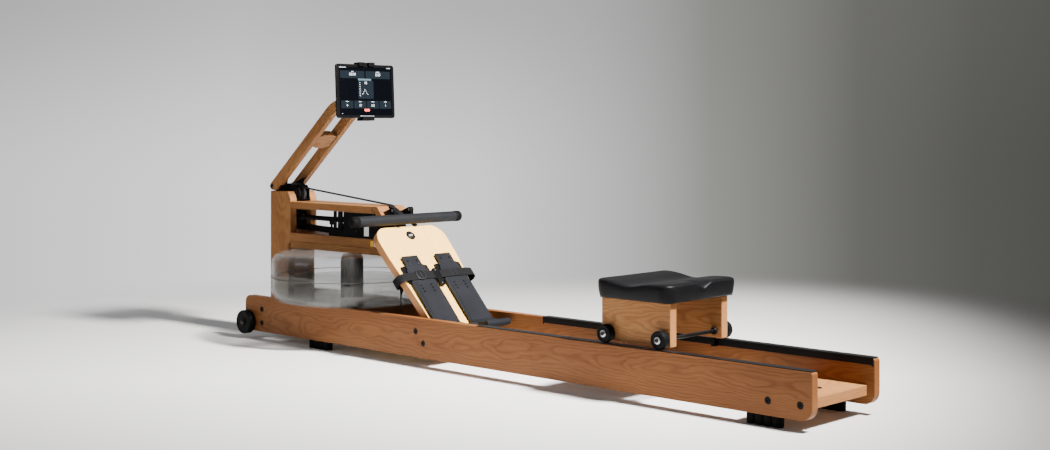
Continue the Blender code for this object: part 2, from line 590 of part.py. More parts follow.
def make_drive_strap():
    """The webbing from the handle, over the nose, round both tower pulleys and onto the drum."""
    layer = STRAP_THICKNESS / 2 + GAP
    hx, hz = HANDLE_AXIS
    reach = HANDLE_RADIUS + GAP
    start = math.radians(151)
    flat = (0, 1, 0)
    stations = [((hx + reach * math.cos(start), 0, hz + reach * math.sin(start)), flat, (0.48, 0, 0.88))]
    nose = arc((NOSE_TOP[0] - 0.003, NOSE_TOP[1] - 0.003), 0.0051 + layer, 62, 85, 3)
    stations += [((x, 0, z), flat, (x - NOSE_TOP[0] + 0.003, 0, z - NOSE_TOP[1] + 0.003)) for x, z in nose]
    stations += wrap(TOWER_PULLEY, TOWER_PULLEY_RADIUS + layer, 85, 180, 8)
    stations += wrap(LOWER_PULLEY, LOWER_PULLEY_RADIUS + layer, 180, 270, 5)
    entry, steps, twist_length = LOWER_PULLEY[0] + 0.015, 14, 0.075
    side = DRUM_RADIUS + layer + GAP
    for n in range(steps + 1):
        share = n / steps
        twist = math.radians(90) * min(share * (TANK_X - entry) / twist_length, 1.0)
        across, out = (0, math.cos(twist), math.sin(twist)), (0, math.sin(twist), -math.cos(twist))
        x = entry + (TANK_X - entry) * share
        ease = share * share * (3 - 2 * share)
        stations.append(((x, -side * ease, STRAP_Z), across, out))
    for angle in range(-80, 101, 10):
        turn = math.radians(angle)
        out = (math.cos(turn), math.sin(turn), 0)
        stations.append(((TANK_X + side * out[0], side * out[1], STRAP_Z), (0, 0, 1), tuple(-c for c in out)))
    add("drive_strap", band(stations, STRAP_WIDTH, STRAP_THICKNESS), BLACK, 0.8)


def make_bungee():
    """The elastic cord that winds the strap back: block, front pulley, and round the drum's spool."""
    bx, by = RECOIL_PULLEY[0], RECOIL_PULLEY_RADIUS + BUNGEE_RADIUS + GAP
    spool = SPOOL_RADIUS + BUNGEE_RADIUS + GAP
    route = [(-0.6185, -0.0300), (-0.7500, -0.0310), (-0.8600, -0.0200)]
    route += arc((bx, 0), by, -90, -270, 9)
    route += [(-0.8000, 0.0225)]
    route += arc((TANK_X, 0), spool, 90, 0, 6)
    curve = bpy.data.curves.new("bungee_route", "CURVE")
    curve.dimensions = "3D"
    curve.bevel_depth = BUNGEE_RADIUS
    curve.bevel_resolution = 1
    curve.use_fill_caps = True
    spline = curve.splines.new("POLY")
    spline.points.add(len(route) - 1)
    for point, (x, y) in zip(spline.points, route):
        point.co = (x, y, BUNGEE_Z, 1.0)
    cord = bpy.data.objects.new("recoil_bungee", curve)
    curve.materials.append(material("recoil_bungee", BLACK, 0.8))
    bpy.context.scene.collection.objects.link(cord)


def make_handle():
    x, z = HANDLE_AXIS
    radius, corner = HANDLE_RADIUS, 0.010
    half, end = HANDLE_HALF_LENGTH, HANDLE_HALF_LENGTH - corner
    grip = [(0, -half)] + arc((radius - corner, -end), corner, -90, 0, 3)
    grip += arc((radius - corner, end), corner, 0, 90, 3) + [(0, half)]
    add("handle", turned(grip, (x, 0, z), "Y", 24), GREY, 0.6, origin=(x, 0, z), smooth=40)


# ---------------------------------------------------------------- footboard


def board_prism(outline, low, high):
    """An outline in (distance down the board, y), extruded from height low to high off its face."""
    return prism(outline, low, high, lambda s, y, h: on_board(s, y, h))


def make_footboard():
    wide, radius = 0.134, 0.050
    side = arc((radius, wide - radius), radius, 180, 90, 7)
    side += [(0.110, 0.1335), (0.170, 0.1275), (0.230, 0.1215), (0.330, 0.1145), (BOARD_LENGTH, 0.1110)]
    outline = [(s, -y) for s, y in side][::-1] + side
    board = add("footboard", board_prism(outline, -BOARD_DEPTH, 0.0), BIRCH, 0.45)
    round_edges(board, 0.0012, angle=50)


def make_footplates():
    """One fixed base for both feet, and on it two sliders with adjusting tabs, peg holes and heel cups."""
    base_top, slider_top = 0.0050, 0.0093
    half, neck, hub = 0.0510, 0.0345, 0.0095
    near_side = [(0.168, hub), (0.168, FOOT_Y - half), (0.150, FOOT_Y - half), (0.150, FOOT_Y + half)]
    near_side += [(0.212, FOOT_Y + half), (0.212, FOOT_Y + neck)]
    near_side += [(0.350, FOOT_Y + neck), (0.350, FOOT_Y - neck)]
    near_side += [(0.212, FOOT_Y - neck), (0.212, hub)]
    outline = near_side + [(s, -y) for s, y in near_side[::-1]]
    base = add("foot_base", board_prism(outline, GAP, base_top), BLACK, 0.55)
    keeper = [(0.168, -hub), (0.230, -hub), (0.230, hub), (0.168, hub)]
    combine(base, board_prism(keeper, GAP, 0.0060), "UNION")
    for name, side in (("foot_slider_near", -1), ("foot_slider_far", 1)):
        centre = side * FOOT_Y
        tab, plate, corner = 0.0305, 0.0465, 0.006
        shape = [(0.117, tab - corner), (0.117 + corner, tab), (0.205, tab), (0.212, plate), (0.378, plate)]
        outline = [(s, centre - y) for s, y in shape][::-1] + [(s, centre + y) for s, y in shape]
        slider = add(name, board_prism(outline, base_top + GAP, slider_top), GREY, 0.55)
        holes = [(s, y) for s in (0.1355, 0.1485) for y in (-0.0175, 0.0175)]
        holes += [(s, y) for s in (0.225, 0.236, 0.247) for y in (-0.0195, 0.0195)]
        for s, y in holes:
            start, end = on_board(s, centre + y, 0.0), on_board(s, centre + y, 0.02)
            combine(slider, rod(start, end, 0.0030, 8), "DIFFERENCE")
        heel_x, _, heel_z = on_board(0.372, 0, slider_top)
        cup = [(heel_x - 0.0035, heel_z - 0.0015), (heel_x + 0.004, heel_z - 0.010)]
        cup.append((heel_x + 0.056, heel_z - 0.012))
        cup += arc((heel_x + 0.059, heel_z + 0.002), 0.010, -80, 100, 5) + [(heel_x + 0.010, heel_z + 0.004)]
        combine(slider, prism(cup, centre - plate, centre + plate), "UNION")


def strap_stations(route, distance):
    """A strap across the board: route holds (y, height) points, at one distance down the board."""
    stations = []
    for n, (y, h) in enumerate(route):
        before, after = route[max(n - 1, 0)], route[min(n + 1, len(route) - 1)]
        run = Vector((0, after[0] - before[0], after[1] - before[1])).normalized()
        down = Vector(on_board(1, 0, 0)) - Vector(on_board(0, 0, 0))
        up = Vector(on_board(0, 0, 1)) - Vector(on_board(0, 0, 0))
        out = Vector((0, 1, 0)) * -run.z + up * run.y
        stations.append((on_board(distance, y, h), down, out))
    return stations


def make_foot_strap():
    """One webbing strap over both sliders and the keeper, with its loose tail behind the near edge."""
    distance, over = 0.192, 0.0110
    across = [(0.0108, 0.0074), (0.0172, over), (0.0650, over + 0.0010), (0.1120, over), (0.1280, 0.0100)]
    near = [(0.1400, 0.0040), (0.1450, -0.0080), (0.1440, -0.0220), (0.1360, -0.0290), (0.1100, -0.0262)]
    far = [(0.1460, 0.0050), (0.1550, -0.0080), (0.1535, -0.0220), (0.1430, -0.0290), (0.1100, -0.0262)]
    route = [(-y, h) for y, h in (across + near)[::-1]] + [(0.0, 0.0072)] + across + far
    strap = add("foot_strap", band(strap_stations(route, distance), 0.027, STRAP_THICKNESS), BLACK, 0.8)
    tail = [(-0.3302, 0.2190, 0), (-0.3345, 0.2020, 22), (-0.3375, 0.1830, 42), (-0.3380, 0.1620, 44)]
    tail += [(-0.3345, 0.1400, 44), (-0.3290, 0.1200, 44)]
    stations = []
    for x, z, degrees in tail:
        turn = math.radians(degrees)
        width, out = (-math.sin(turn), math.cos(turn), 0), (math.cos(turn), math.sin(turn), 0)
        stations.append(((x, -0.1095, z), width, out))
    combine(strap, band(stations, 0.022, STRAP_THICKNESS), "UNION")


# ---------------------------------------------------------------- seat


def make_seat():
    for name, side in (("seat_plate_near", -1), ("seat_plate_far", 1)):
        low, high = sorted((side * (SEAT_OUTER - SEAT_PLATE), side * SEAT_OUTER))
        plate = add(name, block((SEAT_FRONT, low, SEAT_BOTTOM), (SEAT_REAR, high, SEAT_TOP)), OAK, 0.45)
        round_edges(plate, 0.0012)
        for x in SEAT_WHEEL_X:
            hole = rod((x, low - 0.01, SEAT_WHEEL_Z), (x, high + 0.01, SEAT_WHEEL_Z), 0.0053, 12)
            combine(plate, hole, "DIFFERENCE")
    reach = SEAT_OUTER - SEAT_PLATE - GAP
    board = block((SEAT_FRONT + 0.002, -reach, 0.2368), (0.5850, reach, SEAT_TOP - 0.0002))
    base = add("seat_base_board", board, OAK, 0.5)
    round_edges(base, 0.0012)
    for place, x in zip(("front", "rear"), SEAT_WHEEL_X):
        axle = rod((x, -0.1445, SEAT_WHEEL_Z), (x, 0.1445, SEAT_WHEEL_Z), 0.0050, 12)
        add(f"seat_axle_{place}", axle, BLACK, 0.4, 0.7, smooth=40)


def make_seat_wheels():
    inner, outer = SEAT_OUTER + 0.0008, 0.1420
    bore, radius = 0.0053, SEAT_WHEEL_RADIUS
    profile = [
        (bore, inner), (0.0120, inner), (0.0130, inner + 0.0015), (radius - 0.0015, inner + 0.0015),
        (radius, inner + 0.0035), (radius, outer - 0.0035), (radius - 0.0015, outer - 0.0015),
        (0.0120, outer - 0.0015), (0.0110, outer - 0.0030), (bore, outer - 0.0030),
    ]
    for place, x in zip(("front", "rear"), SEAT_WHEEL_X):
        wheel = turned(profile, (x, 0, SEAT_WHEEL_Z), "Y", 20)
        middle = (inner + outer) / 2
        near, far = (x, -middle, SEAT_WHEEL_Z), (x, middle, SEAT_WHEEL_Z)
        add(f"seat_wheel_{place}_near", mirrored(wheel), BLACK, 0.5, origin=near, smooth=35)
        add(f"seat_wheel_{place}_far", wheel, BLACK, 0.5, origin=far, smooth=35)


def make_cushion():
    """A plain solid of the moulded seat: rounded corners, with a V groove that deepens to the rear edge."""
    corner, half, depth, run_out = 0.025, CUSHION_HALF_WIDTH, 0.015, 0.45
    side = arc((CUSHION_FRONT + corner, half - corner), corner, 180, 90, 4)
    side += arc((CUSHION_REAR - corner, half - corner), corner, 90, 0, 4)
    outline = [(x, -y) for x, y in side][::-1] + side
    cushion = prism(outline, CUSHION_BOTTOM, CUSHION_TOP, lambda u, v, w: (u, v, w))
    made = add("seat_cushion", cushion, BLACK, 0.55)
    round_edges(made, 0.006, 2, 50)
    groove = [(-0.0320, CUSHION_TOP + 0.005), (0, CUSHION_TOP - depth), (0.0320, CUSHION_TOP + 0.005)]
    cutter = prism(
        groove, CUSHION_REAR - 0.045, CUSHION_REAR + 0.010,
        lambda u, v, w: (w, u, v + run_out * (CUSHION_REAR - w)),
    )
    combine(made, cutter, "DIFFERENCE")


# ---------------------------------------------------------------- display arm


def arm_outline():
    """One strip: a straight run up from the pivot, then a bend towards the seat."""
    upper = [along(ARM_PIVOT, ARM_SLOPE, 0.0, ARM_ABOVE)]
    lower = []
    for n in range(7):
        slope = ARM_SLOPE - ARM_BEND * n / 6
        turn_centre = along(ARM_PIVOT, ARM_SLOPE, ARM_STRAIGHT, -ARM_BEND_RADIUS)
        middle = along(turn_centre, slope, 0.0, ARM_BEND_RADIUS)
        upper.append(along(middle, slope, 0.0, ARM_ABOVE))
        lower.append(along(middle, slope, 0.0, -ARM_BELOW))
    end_slope = ARM_SLOPE - ARM_BEND
    upper.append(along(middle, end_slope, ARM_TAIL, ARM_ABOVE))
    lower.append(along(middle, end_slope, ARM_TAIL, -ARM_BELOW))
    sole = 0.4680
    climb = (sole - ARM_PIVOT[1] + ARM_BELOW * math.cos(ARM_SLOPE)) / math.sin(ARM_SLOPE)
    heel = along(ARM_PIVOT, ARM_SLOPE, climb, -ARM_BELOW)
    foot = arc(ARM_PIVOT, ARM_ABOVE, math.degrees(ARM_SLOPE) + 90, 230, 5)
    return foot[1:] + [(ARM_PIVOT[0], sole), heel] + lower + upper[::-1]


def make_arm():
    pivot = (ARM_PIVOT[0], 0, ARM_PIVOT[1])
    for name, side in (("arm_strip_near", -1), ("arm_strip_far", 1)):
        low, high = sorted((side * ARM_INNER, side * ARM_OUTER))
        strip = add(name, prism(arm_outline(), low, high), OAK, 0.45, origin=pivot)
        round_edges(strip, 0.0010, angle=50)
        for x, z in (ARM_PIVOT, HOLDER_PIVOT):
            combine(strip, rod((x, low - 0.01, z), (x, high + 0.01, z), 0.0036, 12), "DIFFERENCE")
    middle, half, bulge, reach = SPREADER_MIDDLE, 0.0235, 0.0100, ARM_INNER - GAP
    outline = [(middle - half - bulge * math.sin(math.pi * n / 8), reach - reach * n / 4) for n in range(9)]
    outline += [(middle + half + bulge * math.sin(math.pi * n / 8), -reach + reach * n / 4) for n in range(9)]

    def to_arm(u, v, w):
        x, z = along(ARM_PIVOT, ARM_SLOPE, u, w)
        return x, v, z

    spreader = add("arm_spreader", prism(outline, -0.0200, -0.0020, to_arm), OAK, 0.45, origin=pivot)
    round_edges(spreader, 0.0008, angle=50)
    bolt = [(0, -0.0560), (0.0055, -0.0560), (0.0062, -0.0550), (0.0062, -0.0533), (0.0030, -0.0533)]
    bolt += [(0.0030, 0.0533), (0.0062, 0.0533), (0.0062, 0.0550), (0.0055, 0.0560), (0, 0.0560)]
    add("arm_pivot_bolt", turned(bolt, pivot, "Y", 12), BLACK, 0.4, 0.6, origin=pivot, smooth=40)


def make_arm_bracket():
    """A U on top of the posts, inside the strips, with a ledge that each strip leans on."""
    floor, front = TOWER_TOP + GAP, -1.0440
    inner, outer = ARM_INNER - 0.0036, ARM_INNER - GAP
    web = block((front, -outer, floor), (-1.0225, outer, floor + 0.0030))
    bracket = add("arm_bracket", web, BLACK, 0.45)
    outline = [(front, floor), (-0.9850, floor), (-0.9720, 0.5060), (-0.9740, 0.5070), (-1.0200, 0.4905)]
    outline += [(-1.0360, 0.4900), (front, 0.4840)]
    ledge = [along(ARM_PIVOT, ARM_SLOPE, distance, -ARM_BELOW - GAP) for distance in (0.020, 0.033)]
    ledge += [(ledge[1][0], ledge[1][1] - 0.008), (ledge[0][0], ledge[0][1] - 0.004)]
    for side in (-1, 1):
        low, high = sorted((side * inner, side * outer))
        combine(bracket, prism(outline, low, high), "UNION")
        low, high = sorted((side * (inner + 0.001), side * (ARM_OUTER - 0.004)))
        combine(bracket, prism(ledge, low, high), "UNION")
    x, z = ARM_PIVOT
    combine(bracket, rod((x, -0.06, z), (x, 0.06, z), 0.0034, 12), "DIFFERENCE")


def make_tablet():
    """The clamp and the tablet, drawn square and then turned as one by an empty, and the clamp's knuckle."""
    turn = bpy.data.objects.new("tablet_frame", None)
    turn.location = TABLET_CENTRE
    turn.rotation_euler = (0, -TABLET_TILT, TABLET_YAW)
    bpy.context.scene.collection.objects.link(turn)
    bpy.context.view_layer.update()
    half_width, half_height = TABLET_WIDTH / 2, TABLET_HEIGHT / 2
    back, face = -TABLET_DEPTH / 2, TABLET_DEPTH / 2
    spine = back - HOLDER_DEPTH

    corner = 0.010
    outline = arc((half_width - corner, half_height - corner), corner, 0, 90, 3)
    outline += arc((corner - half_width, half_height - corner), corner, 90, 180, 3)
    outline += arc((corner - half_width, corner - half_height), corner, 180, 270, 3)
    outline += arc((half_width - corner, corner - half_height), corner, 270, 360, 3)
    tablet = add("tablet", prism(outline, back, face, lambda u, v, w: (w, u, v)), BLACK, 0.15)

    holder = add("tablet_holder", block((spine, -0.030, -0.060), (back - GAP, 0.030, 0.060)), BLACK, 0.5)
    combine(holder, block((spine + 0.002, -0.026, 0.050), (back - GAP, 0.026, half_height + 0.006)), "UNION")
    low, high = half_height + GAP, half_height + 0.006
    for y in (-0.020, 0.020):
        combine(holder, block((spine + 0.004, y - 0.012, low), (0.012, y + 0.012, high)), "UNION")
        combine(holder, block((face + GAP, y - 0.012, low - 0.006), (0.012, y + 0.012, high)), "UNION")
    channel = block((spine - 0.001, -0.0203, -0.070), (back - 0.0040, 0.0203, -0.0400))
    combine(holder, channel, "DIFFERENCE")

    stem = block((spine + 0.002, -0.020, -half_height - 0.006), (back - 0.0045, 0.020, -0.0420))
    jaw = add("holder_jaw", stem, BLACK, 0.5)
    low, high = -half_height - 0.008, -half_height - GAP
    combine(jaw, block((spine + 0.002, -0.024, low), (0.013, 0.024, high)), "UNION")
    combine(jaw, block((face + GAP, -0.024, low), (0.013, 0.024, high + 0.006)), "UNION")
    for made in (tablet, holder, jaw):
        made.parent = turn

    x, z = HOLDER_PIVOT
    inner, outer = ARM_INNER - 0.0008, ARM_OUTER + 0.0030
    knuckle = add("holder_knuckle", rod((x, -inner, z), (x, inner, z), 0.0090, 16), BLACK, 0.45, smooth=40)
    combine(knuckle, rod((x, -outer, z), (x, outer, z), 0.0033, 12), "UNION")
    collar = [turn.matrix_world @ Vector((spine - depth, 0, COLLAR_DROP)) for depth in (GAP, 0.008)]
    combine(knuckle, rod(collar[0], collar[1], 0.0150, 20), "UNION")
    neck = turn.matrix_world @ Vector((spine - 0.006, 0, COLLAR_DROP))
    combine(knuckle, rod(neck, (x, 0, z), 0.0105, 16), "UNION")


def main():
    for old in list(bpy.data.objects):
        bpy.data.objects.remove(old)
    make_rails()
    make_cross_boards()
    make_feet()
    make_tracks()
    make_transport_wheels()
    make_uprights()
    make_decks()
    make_handle_rest()
    make_tank()
    make_impeller()
    make_drive()
    make_tower_bracket()
    make_drum_bracket()
    make_drive_strap()
    make_bungee()
    make_handle()
    make_footboard()
    make_footplates()
    make_foot_strap()
    make_seat()
    make_seat_wheels()
    make_cushion()
    make_arm()
    make_arm_bracket()
    make_tablet()


main()
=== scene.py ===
"""The finished look of the water rowing machine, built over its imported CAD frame."""

import math

import bmesh
import bpy
from mathutils import Matrix, Vector


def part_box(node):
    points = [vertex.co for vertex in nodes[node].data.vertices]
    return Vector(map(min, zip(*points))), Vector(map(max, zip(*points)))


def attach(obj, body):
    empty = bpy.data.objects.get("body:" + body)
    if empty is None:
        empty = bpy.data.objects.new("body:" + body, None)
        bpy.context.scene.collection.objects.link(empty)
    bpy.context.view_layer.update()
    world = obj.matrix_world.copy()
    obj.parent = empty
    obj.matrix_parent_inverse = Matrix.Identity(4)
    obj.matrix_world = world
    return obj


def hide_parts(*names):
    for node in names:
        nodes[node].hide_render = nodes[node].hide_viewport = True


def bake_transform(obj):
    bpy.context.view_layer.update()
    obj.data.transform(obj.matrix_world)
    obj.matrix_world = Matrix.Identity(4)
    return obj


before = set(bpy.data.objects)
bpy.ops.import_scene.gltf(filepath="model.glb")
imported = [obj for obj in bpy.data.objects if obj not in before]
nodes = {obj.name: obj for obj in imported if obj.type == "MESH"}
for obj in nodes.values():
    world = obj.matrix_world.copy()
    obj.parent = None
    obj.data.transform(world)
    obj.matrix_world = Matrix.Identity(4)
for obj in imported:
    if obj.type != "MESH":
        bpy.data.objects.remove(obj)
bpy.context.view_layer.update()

GAP = 0.0003
ARM_SLOPE = math.radians(40.0)
BOARD_SLOPE = math.radians(47.03)
WOOD_LIGHT, WOOD_MID, WOOD_DARK = (0.355, 0.168, 0.060), (0.262, 0.110, 0.036), (0.152, 0.054, 0.016)


def middle(node):
    low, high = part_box(node)
    return (low + high) / 2


# ---------------------------------------------------------------- materials


class Nodes:
    """A node tree, with short ways to add to it."""

    def __init__(self, tree):
        self.tree = tree

    def link(self, source, target):
        self.tree.links.new(source, target)

    def node(self, kind, sockets=None, **settings):
        """A node with its settings, and its inputs given as numbers or as another node's output."""
        made = self.tree.nodes.new("ShaderNode" + kind)
        for key, value in settings.items():
            setattr(made, key, value)
        for key, value in (sockets or {}).items():
            if isinstance(value, bpy.types.NodeSocket):
                self.link(value, made.inputs[key])
            else:
                made.inputs[key].default_value = value
        return made

    def mapped(self, where, **sockets):
        """Coordinates scaled, turned or moved by a Mapping node."""
        given = {key.title(): value for key, value in sockets.items()}
        return self.node("Mapping", {"Vector": where, **given}).outputs["Vector"]

    def vector(self, operation, first, second=(0.0, 0.0, 0.0)):
        """Vector arithmetic: a number from LENGTH and DOT_PRODUCT, and a vector from the rest."""
        made = self.node("VectorMath", {0: first, 1: second}, operation=operation)
        return made.outputs["Value" if operation in ("LENGTH", "DOT_PRODUCT") else "Vector"]

    def place(self, scale=(1, 1, 1), turn=(0, 0, 0), shift=(0, 0, 0)):
        """The piece's own coordinates in metres, moved, turned and scaled."""
        where = self.node("TexCoord").outputs["Object"]
        return self.mapped(where, scale=scale, rotation=turn, location=shift)

    def noise(self, where, scale, detail=3.0, roughness=0.5, distortion=0.0):
        made = self.node(
            "TexNoise",
            {"Vector": where, "Scale": scale, "Detail": detail, "Roughness": roughness,
             "Distortion": distortion},
        )
        return made.outputs["Fac"]

    def math(self, operation, first, second=0.0, clamp=False):
        return self.node("Math", {0: first, 1: second}, operation=operation, use_clamp=clamp).outputs[0]

    def ramp(self, factor, stops, interpolation="LINEAR"):
        """A colour ramp through (position, colour) stops."""
        made = self.node("ValToRGB", {"Fac": factor})
        made.color_ramp.interpolation = interpolation
        while len(made.color_ramp.elements) < len(stops):
            made.color_ramp.elements.new(0.5)
        for element, (position, colour) in zip(made.color_ramp.elements, stops):
            element.position = position
            element.color = (*colour, 1.0) if len(colour) == 3 else colour
        return made.outputs["Color"]

    def span(self, factor, low, high, out_low=0.0, out_high=1.0, **settings):
        """The factor, carried from low..high to out_low..out_high."""
        sockets = {"Value": factor, "From Min": low, "From Max": high, "To Min": out_low, "To Max": out_high}
        return self.node("MapRange", sockets, **settings).outputs["Result"]

    def blend(self, factor, first, second, mode="MIX"):
        made = self.node("Mix", data_type="RGBA", blend_type=mode)
        for socket, value in ((made.inputs[0], factor), (made.inputs[6], first), (made.inputs[7], second)):
            if isinstance(value, bpy.types.NodeSocket):
                self.link(value, socket)
            elif isinstance(value, (int, float)):
                socket.default_value = value
            else:
                socket.default_value = (*value, 1.0)
        return made.outputs[2]


class Shader(Nodes):
    """A material's nodes, with its Principled BSDF."""

    def __init__(self, name, **constants):
        self.material = bpy.data.materials.new(name)
        self.material.use_nodes = True
        super().__init__(self.material.node_tree)
        self.surface = self.tree.nodes["Principled BSDF"]
        for key, value in constants.items():
            self.surface.inputs[key.replace("_", " ")].default_value = value

    def colour(self, source):
        self.link(source, self.surface.inputs["Base Color"])

    def roughness(self, source):
        self.link(source, self.surface.inputs["Roughness"])

    def bump(self, height, strength=0.3, distance=0.001):
        made = self.node("Bump", {"Height": height, "Strength": strength, "Distance": distance})
        self.link(made.outputs["Normal"], self.surface.inputs["Normal"])


def wood(name, grain, seed, heart, painted_shade_scale=1.0):
    """Flat-sawn oak: growth rings round a leaning pith near heart, fibres, pores and a slow drift in tone."""
    s = Shader(name, Roughness=0.5, Specular_IOR_Level=0.14)
    turn = {"X": (0, 0, 0), "Y": (0, 0, math.pi / 2), "Z": (0, math.pi / 2, 0)}.get(grain, (0, ARM_SLOPE, 0))
    lean = 0.020 + 0.008 * math.sin(seed * 3.1)
    straight = s.mapped(s.place(shift=tuple(-c for c in heart)), rotation=turn)
    log = s.mapped(straight, rotation=(0, lean, lean * 1.2))
    stretched = s.mapped(log, scale=(2.8, 8.0, 8.0), location=(seed, 0, 0))
    sway = s.node("TexNoise", {"Vector": stretched, "Scale": 1.0, "Detail": 3.0, "Roughness": 0.55})
    swayed = s.vector("SUBTRACT", sway.outputs["Color"], (0.5, 0.5, 0.5))
    bent = s.vector("ADD", log, s.vector("MULTIPLY", swayed, (0.0, 0.046, 0.046)))
    radius = s.vector("LENGTH", s.vector("MULTIPLY", bent, (0.0, 1.0, 1.0)))
    ring = s.math("FRACT", s.math("MULTIPLY", radius, 270.0))
    fibre = s.noise(s.mapped(bent, scale=(7.0, 420.0, 420.0)), 1.0, 4.0, 0.65)
    pores = s.noise(s.mapped(bent, scale=(30.0, 700.0, 700.0)), 1.0, 2.0, 0.5)
    drift = s.noise(s.mapped(log, scale=(3.0, 14.0, 14.0)), 1.0, 2.0)
    early = s.span(ring, 0.0, 0.5, 1.0, 0.0)
    late = s.span(ring, 0.80, 1.0, 0.0, 0.7)
    banding = s.math("ADD", early, late, clamp=True)
    tone = s.math("ADD", s.math("MULTIPLY", banding, 0.24), s.math("MULTIPLY", fibre, 0.62))
    tone = s.math("ADD", tone, s.math("MULTIPLY", s.math("SUBTRACT", drift, 0.5), 0.55))
    # The multiplier below darkens every oak shade: painted shade, a darker copy of the same oak.
    shades = []
    for shade in (WOOD_LIGHT, WOOD_MID, WOOD_DARK):
        shades.append(tuple(c * painted_shade_scale ** (1.0 + 0.35 * k) for k, c in enumerate(shade)))
    base = s.ramp(tone, tuple(zip((0.16, 0.46, 0.86), shades)))
    pit = s.math("MULTIPLY", s.span(pores, 0.58, 0.72), s.span(ring, 0.0, 0.6, 1.0, 0.2))
    s.colour(s.blend(s.math("MULTIPLY", pit, 0.40), base, tuple(c * 0.5 for c in WOOD_DARK)))
    s.roughness(s.span(tone, 0.0, 1.0, 0.42, 0.60))
    s.bump(s.math("SUBTRACT", s.math("MULTIPLY", fibre, 0.35), pit), 0.25, 0.0005)
    return s.material


def birch(name):
    """The footboard: pale rotary-cut veneer on both faces, and its plies along the edge."""
    s = Shader(name, Roughness=0.42, Specular_IOR_Level=0.2)
    board = s.place(turn=(0, -BOARD_SLOPE, 0))
    sway = s.noise(s.mapped(board, scale=(1.6, 7.0, 7.0)), 1.0, 3.0, 0.55, 1.6)
    figure = s.math("FRACT", s.math("MULTIPLY", sway, 9.0))
    soft = s.math("ABSOLUTE", s.math("SUBTRACT", figure, 0.5))
    fleck = s.noise(s.mapped(board, scale=(26.0, 330.0, 330.0)), 1.0, 2.0)
    tone = s.math("ADD", s.math("MULTIPLY", soft, 0.55), s.math("MULTIPLY", fleck, 0.55))
    face = s.ramp(tone,
                  ((0.15, (0.96, 0.59, 0.165)), (0.5, (0.90, 0.525, 0.130)), (0.85, (0.75, 0.40, 0.085))))
    depth = s.node("SeparateXYZ", {"Vector": board}).outputs["Z"]
    ply = s.math("FRACT", s.math("MULTIPLY", depth, 520.0))
    mottled = s.math("MULTIPLY", s.math("SUBTRACT", fleck, 0.5), 0.8)
    layer = s.math("ADD", s.span(ply, 0.45, 0.55), mottled)
    layers = s.ramp(layer, ((0.1, (0.46, 0.22, 0.09)), (0.9, (0.30, 0.125, 0.048))))
    normal = s.node("NewGeometry").outputs["Normal"]
    facing = s.vector("DOT_PRODUCT", normal, (math.sin(BOARD_SLOPE), 0.0, math.cos(BOARD_SLOPE)))
    s.colour(s.blend(s.span(s.math("ABSOLUTE", facing), 0.55, 0.8), layers, face))
    s.roughness(s.span(tone, 0.0, 1.0, 0.32, 0.46))
    s.bump(fleck, 0.12, 0.0004)
    return s.material


def plastic(name, colour, roughness=0.45, grain=900.0, depth=0.25, metallic=0.0, wear=0.25, coat=0.0,
            shine=0.07):
    """Moulded plastic or powder coat: a fine grain, uneven sheen and a slight drift in colour."""
    s = Shader(name, Metallic=metallic, Coat_Weight=coat, Coat_Roughness=0.2, Specular_IOR_Level=shine)
    where = s.place()
    fine = s.noise(where, grain, 2.0, 0.6)
    broad = s.noise(where, 14.0, 3.0, 0.6)
    lighter = tuple(min(1.0, c * (1.0 + wear) + 0.001) for c in colour)
    tint = s.math("ADD", s.math("MULTIPLY", broad, 0.7), s.math("MULTIPLY", fine, 0.3))
    s.colour(s.ramp(tint, ((0.3, colour), (0.7, lighter))))
    sheen = s.math("ADD", broad, s.math("MULTIPLY", fine, 0.5))
    s.roughness(s.span(sheen, 0.4, 1.1, roughness * 0.85, roughness * 1.18))
    s.bump(fine, depth, 0.0003)
    return s.material


def metal(name, colour, roughness=0.3, stretch=(900.0, 900.0, 40.0)):
    """Bare metal with fine turning or brushing marks."""
    s = Shader(name, Metallic=1.0)
    marks = s.noise(s.place(scale=stretch), 1.0, 2.0, 0.6)
    broad = s.noise(s.place(), 30.0, 2.0)
    s.colour(s.ramp(marks, ((0.3, tuple(c * 0.82 for c in colour)), (0.7, colour))))
    s.roughness(s.span(s.math("ADD", marks, broad), 0.6, 1.4, roughness * 0.75, roughness * 1.3))
    s.bump(marks, 0.15, 0.0002)
    return s.material


def webbing(name, colour=(0.010, 0.010, 0.011), pitch=0.0016, turn=(0, 0, 0)):
    """Woven strap: two crossing sets of yarn in the strap's own coordinates."""
    s = Shader(name, Roughness=0.75, Specular_IOR_Level=0.05)
    where = s.place(scale=(1 / pitch, 1 / pitch, 1 / pitch), turn=turn)
    axes = s.node("SeparateXYZ", {"Vector": where})
    warp = s.math("SINE", s.math("MULTIPLY", axes.outputs["Y"], math.tau))
    weft = s.math("SINE", s.math("MULTIPLY", s.math("ADD", axes.outputs["X"], axes.outputs["Z"]), math.tau))
    weave = s.math("MULTIPLY", warp, weft)
    fuzz = s.noise(where, 1.4, 2.0)
    height = s.math("ADD", s.math("MULTIPLY", weave, 0.5), s.math("MULTIPLY", fuzz, 0.4))
    # The weave's hollows are painted darker and its crowns lighter: painted shade and highlight of the yarn
    # relief.
    shaded_hollow, lit_crown = tuple(c * 0.5 for c in colour), tuple(c * 2.6 for c in colour)
    s.colour(s.ramp(s.span(height, -0.5, 0.9), ((0.1, shaded_hollow), (0.9, lit_crown))))
    s.bump(height, 0.6, 0.0004)
    return s.material


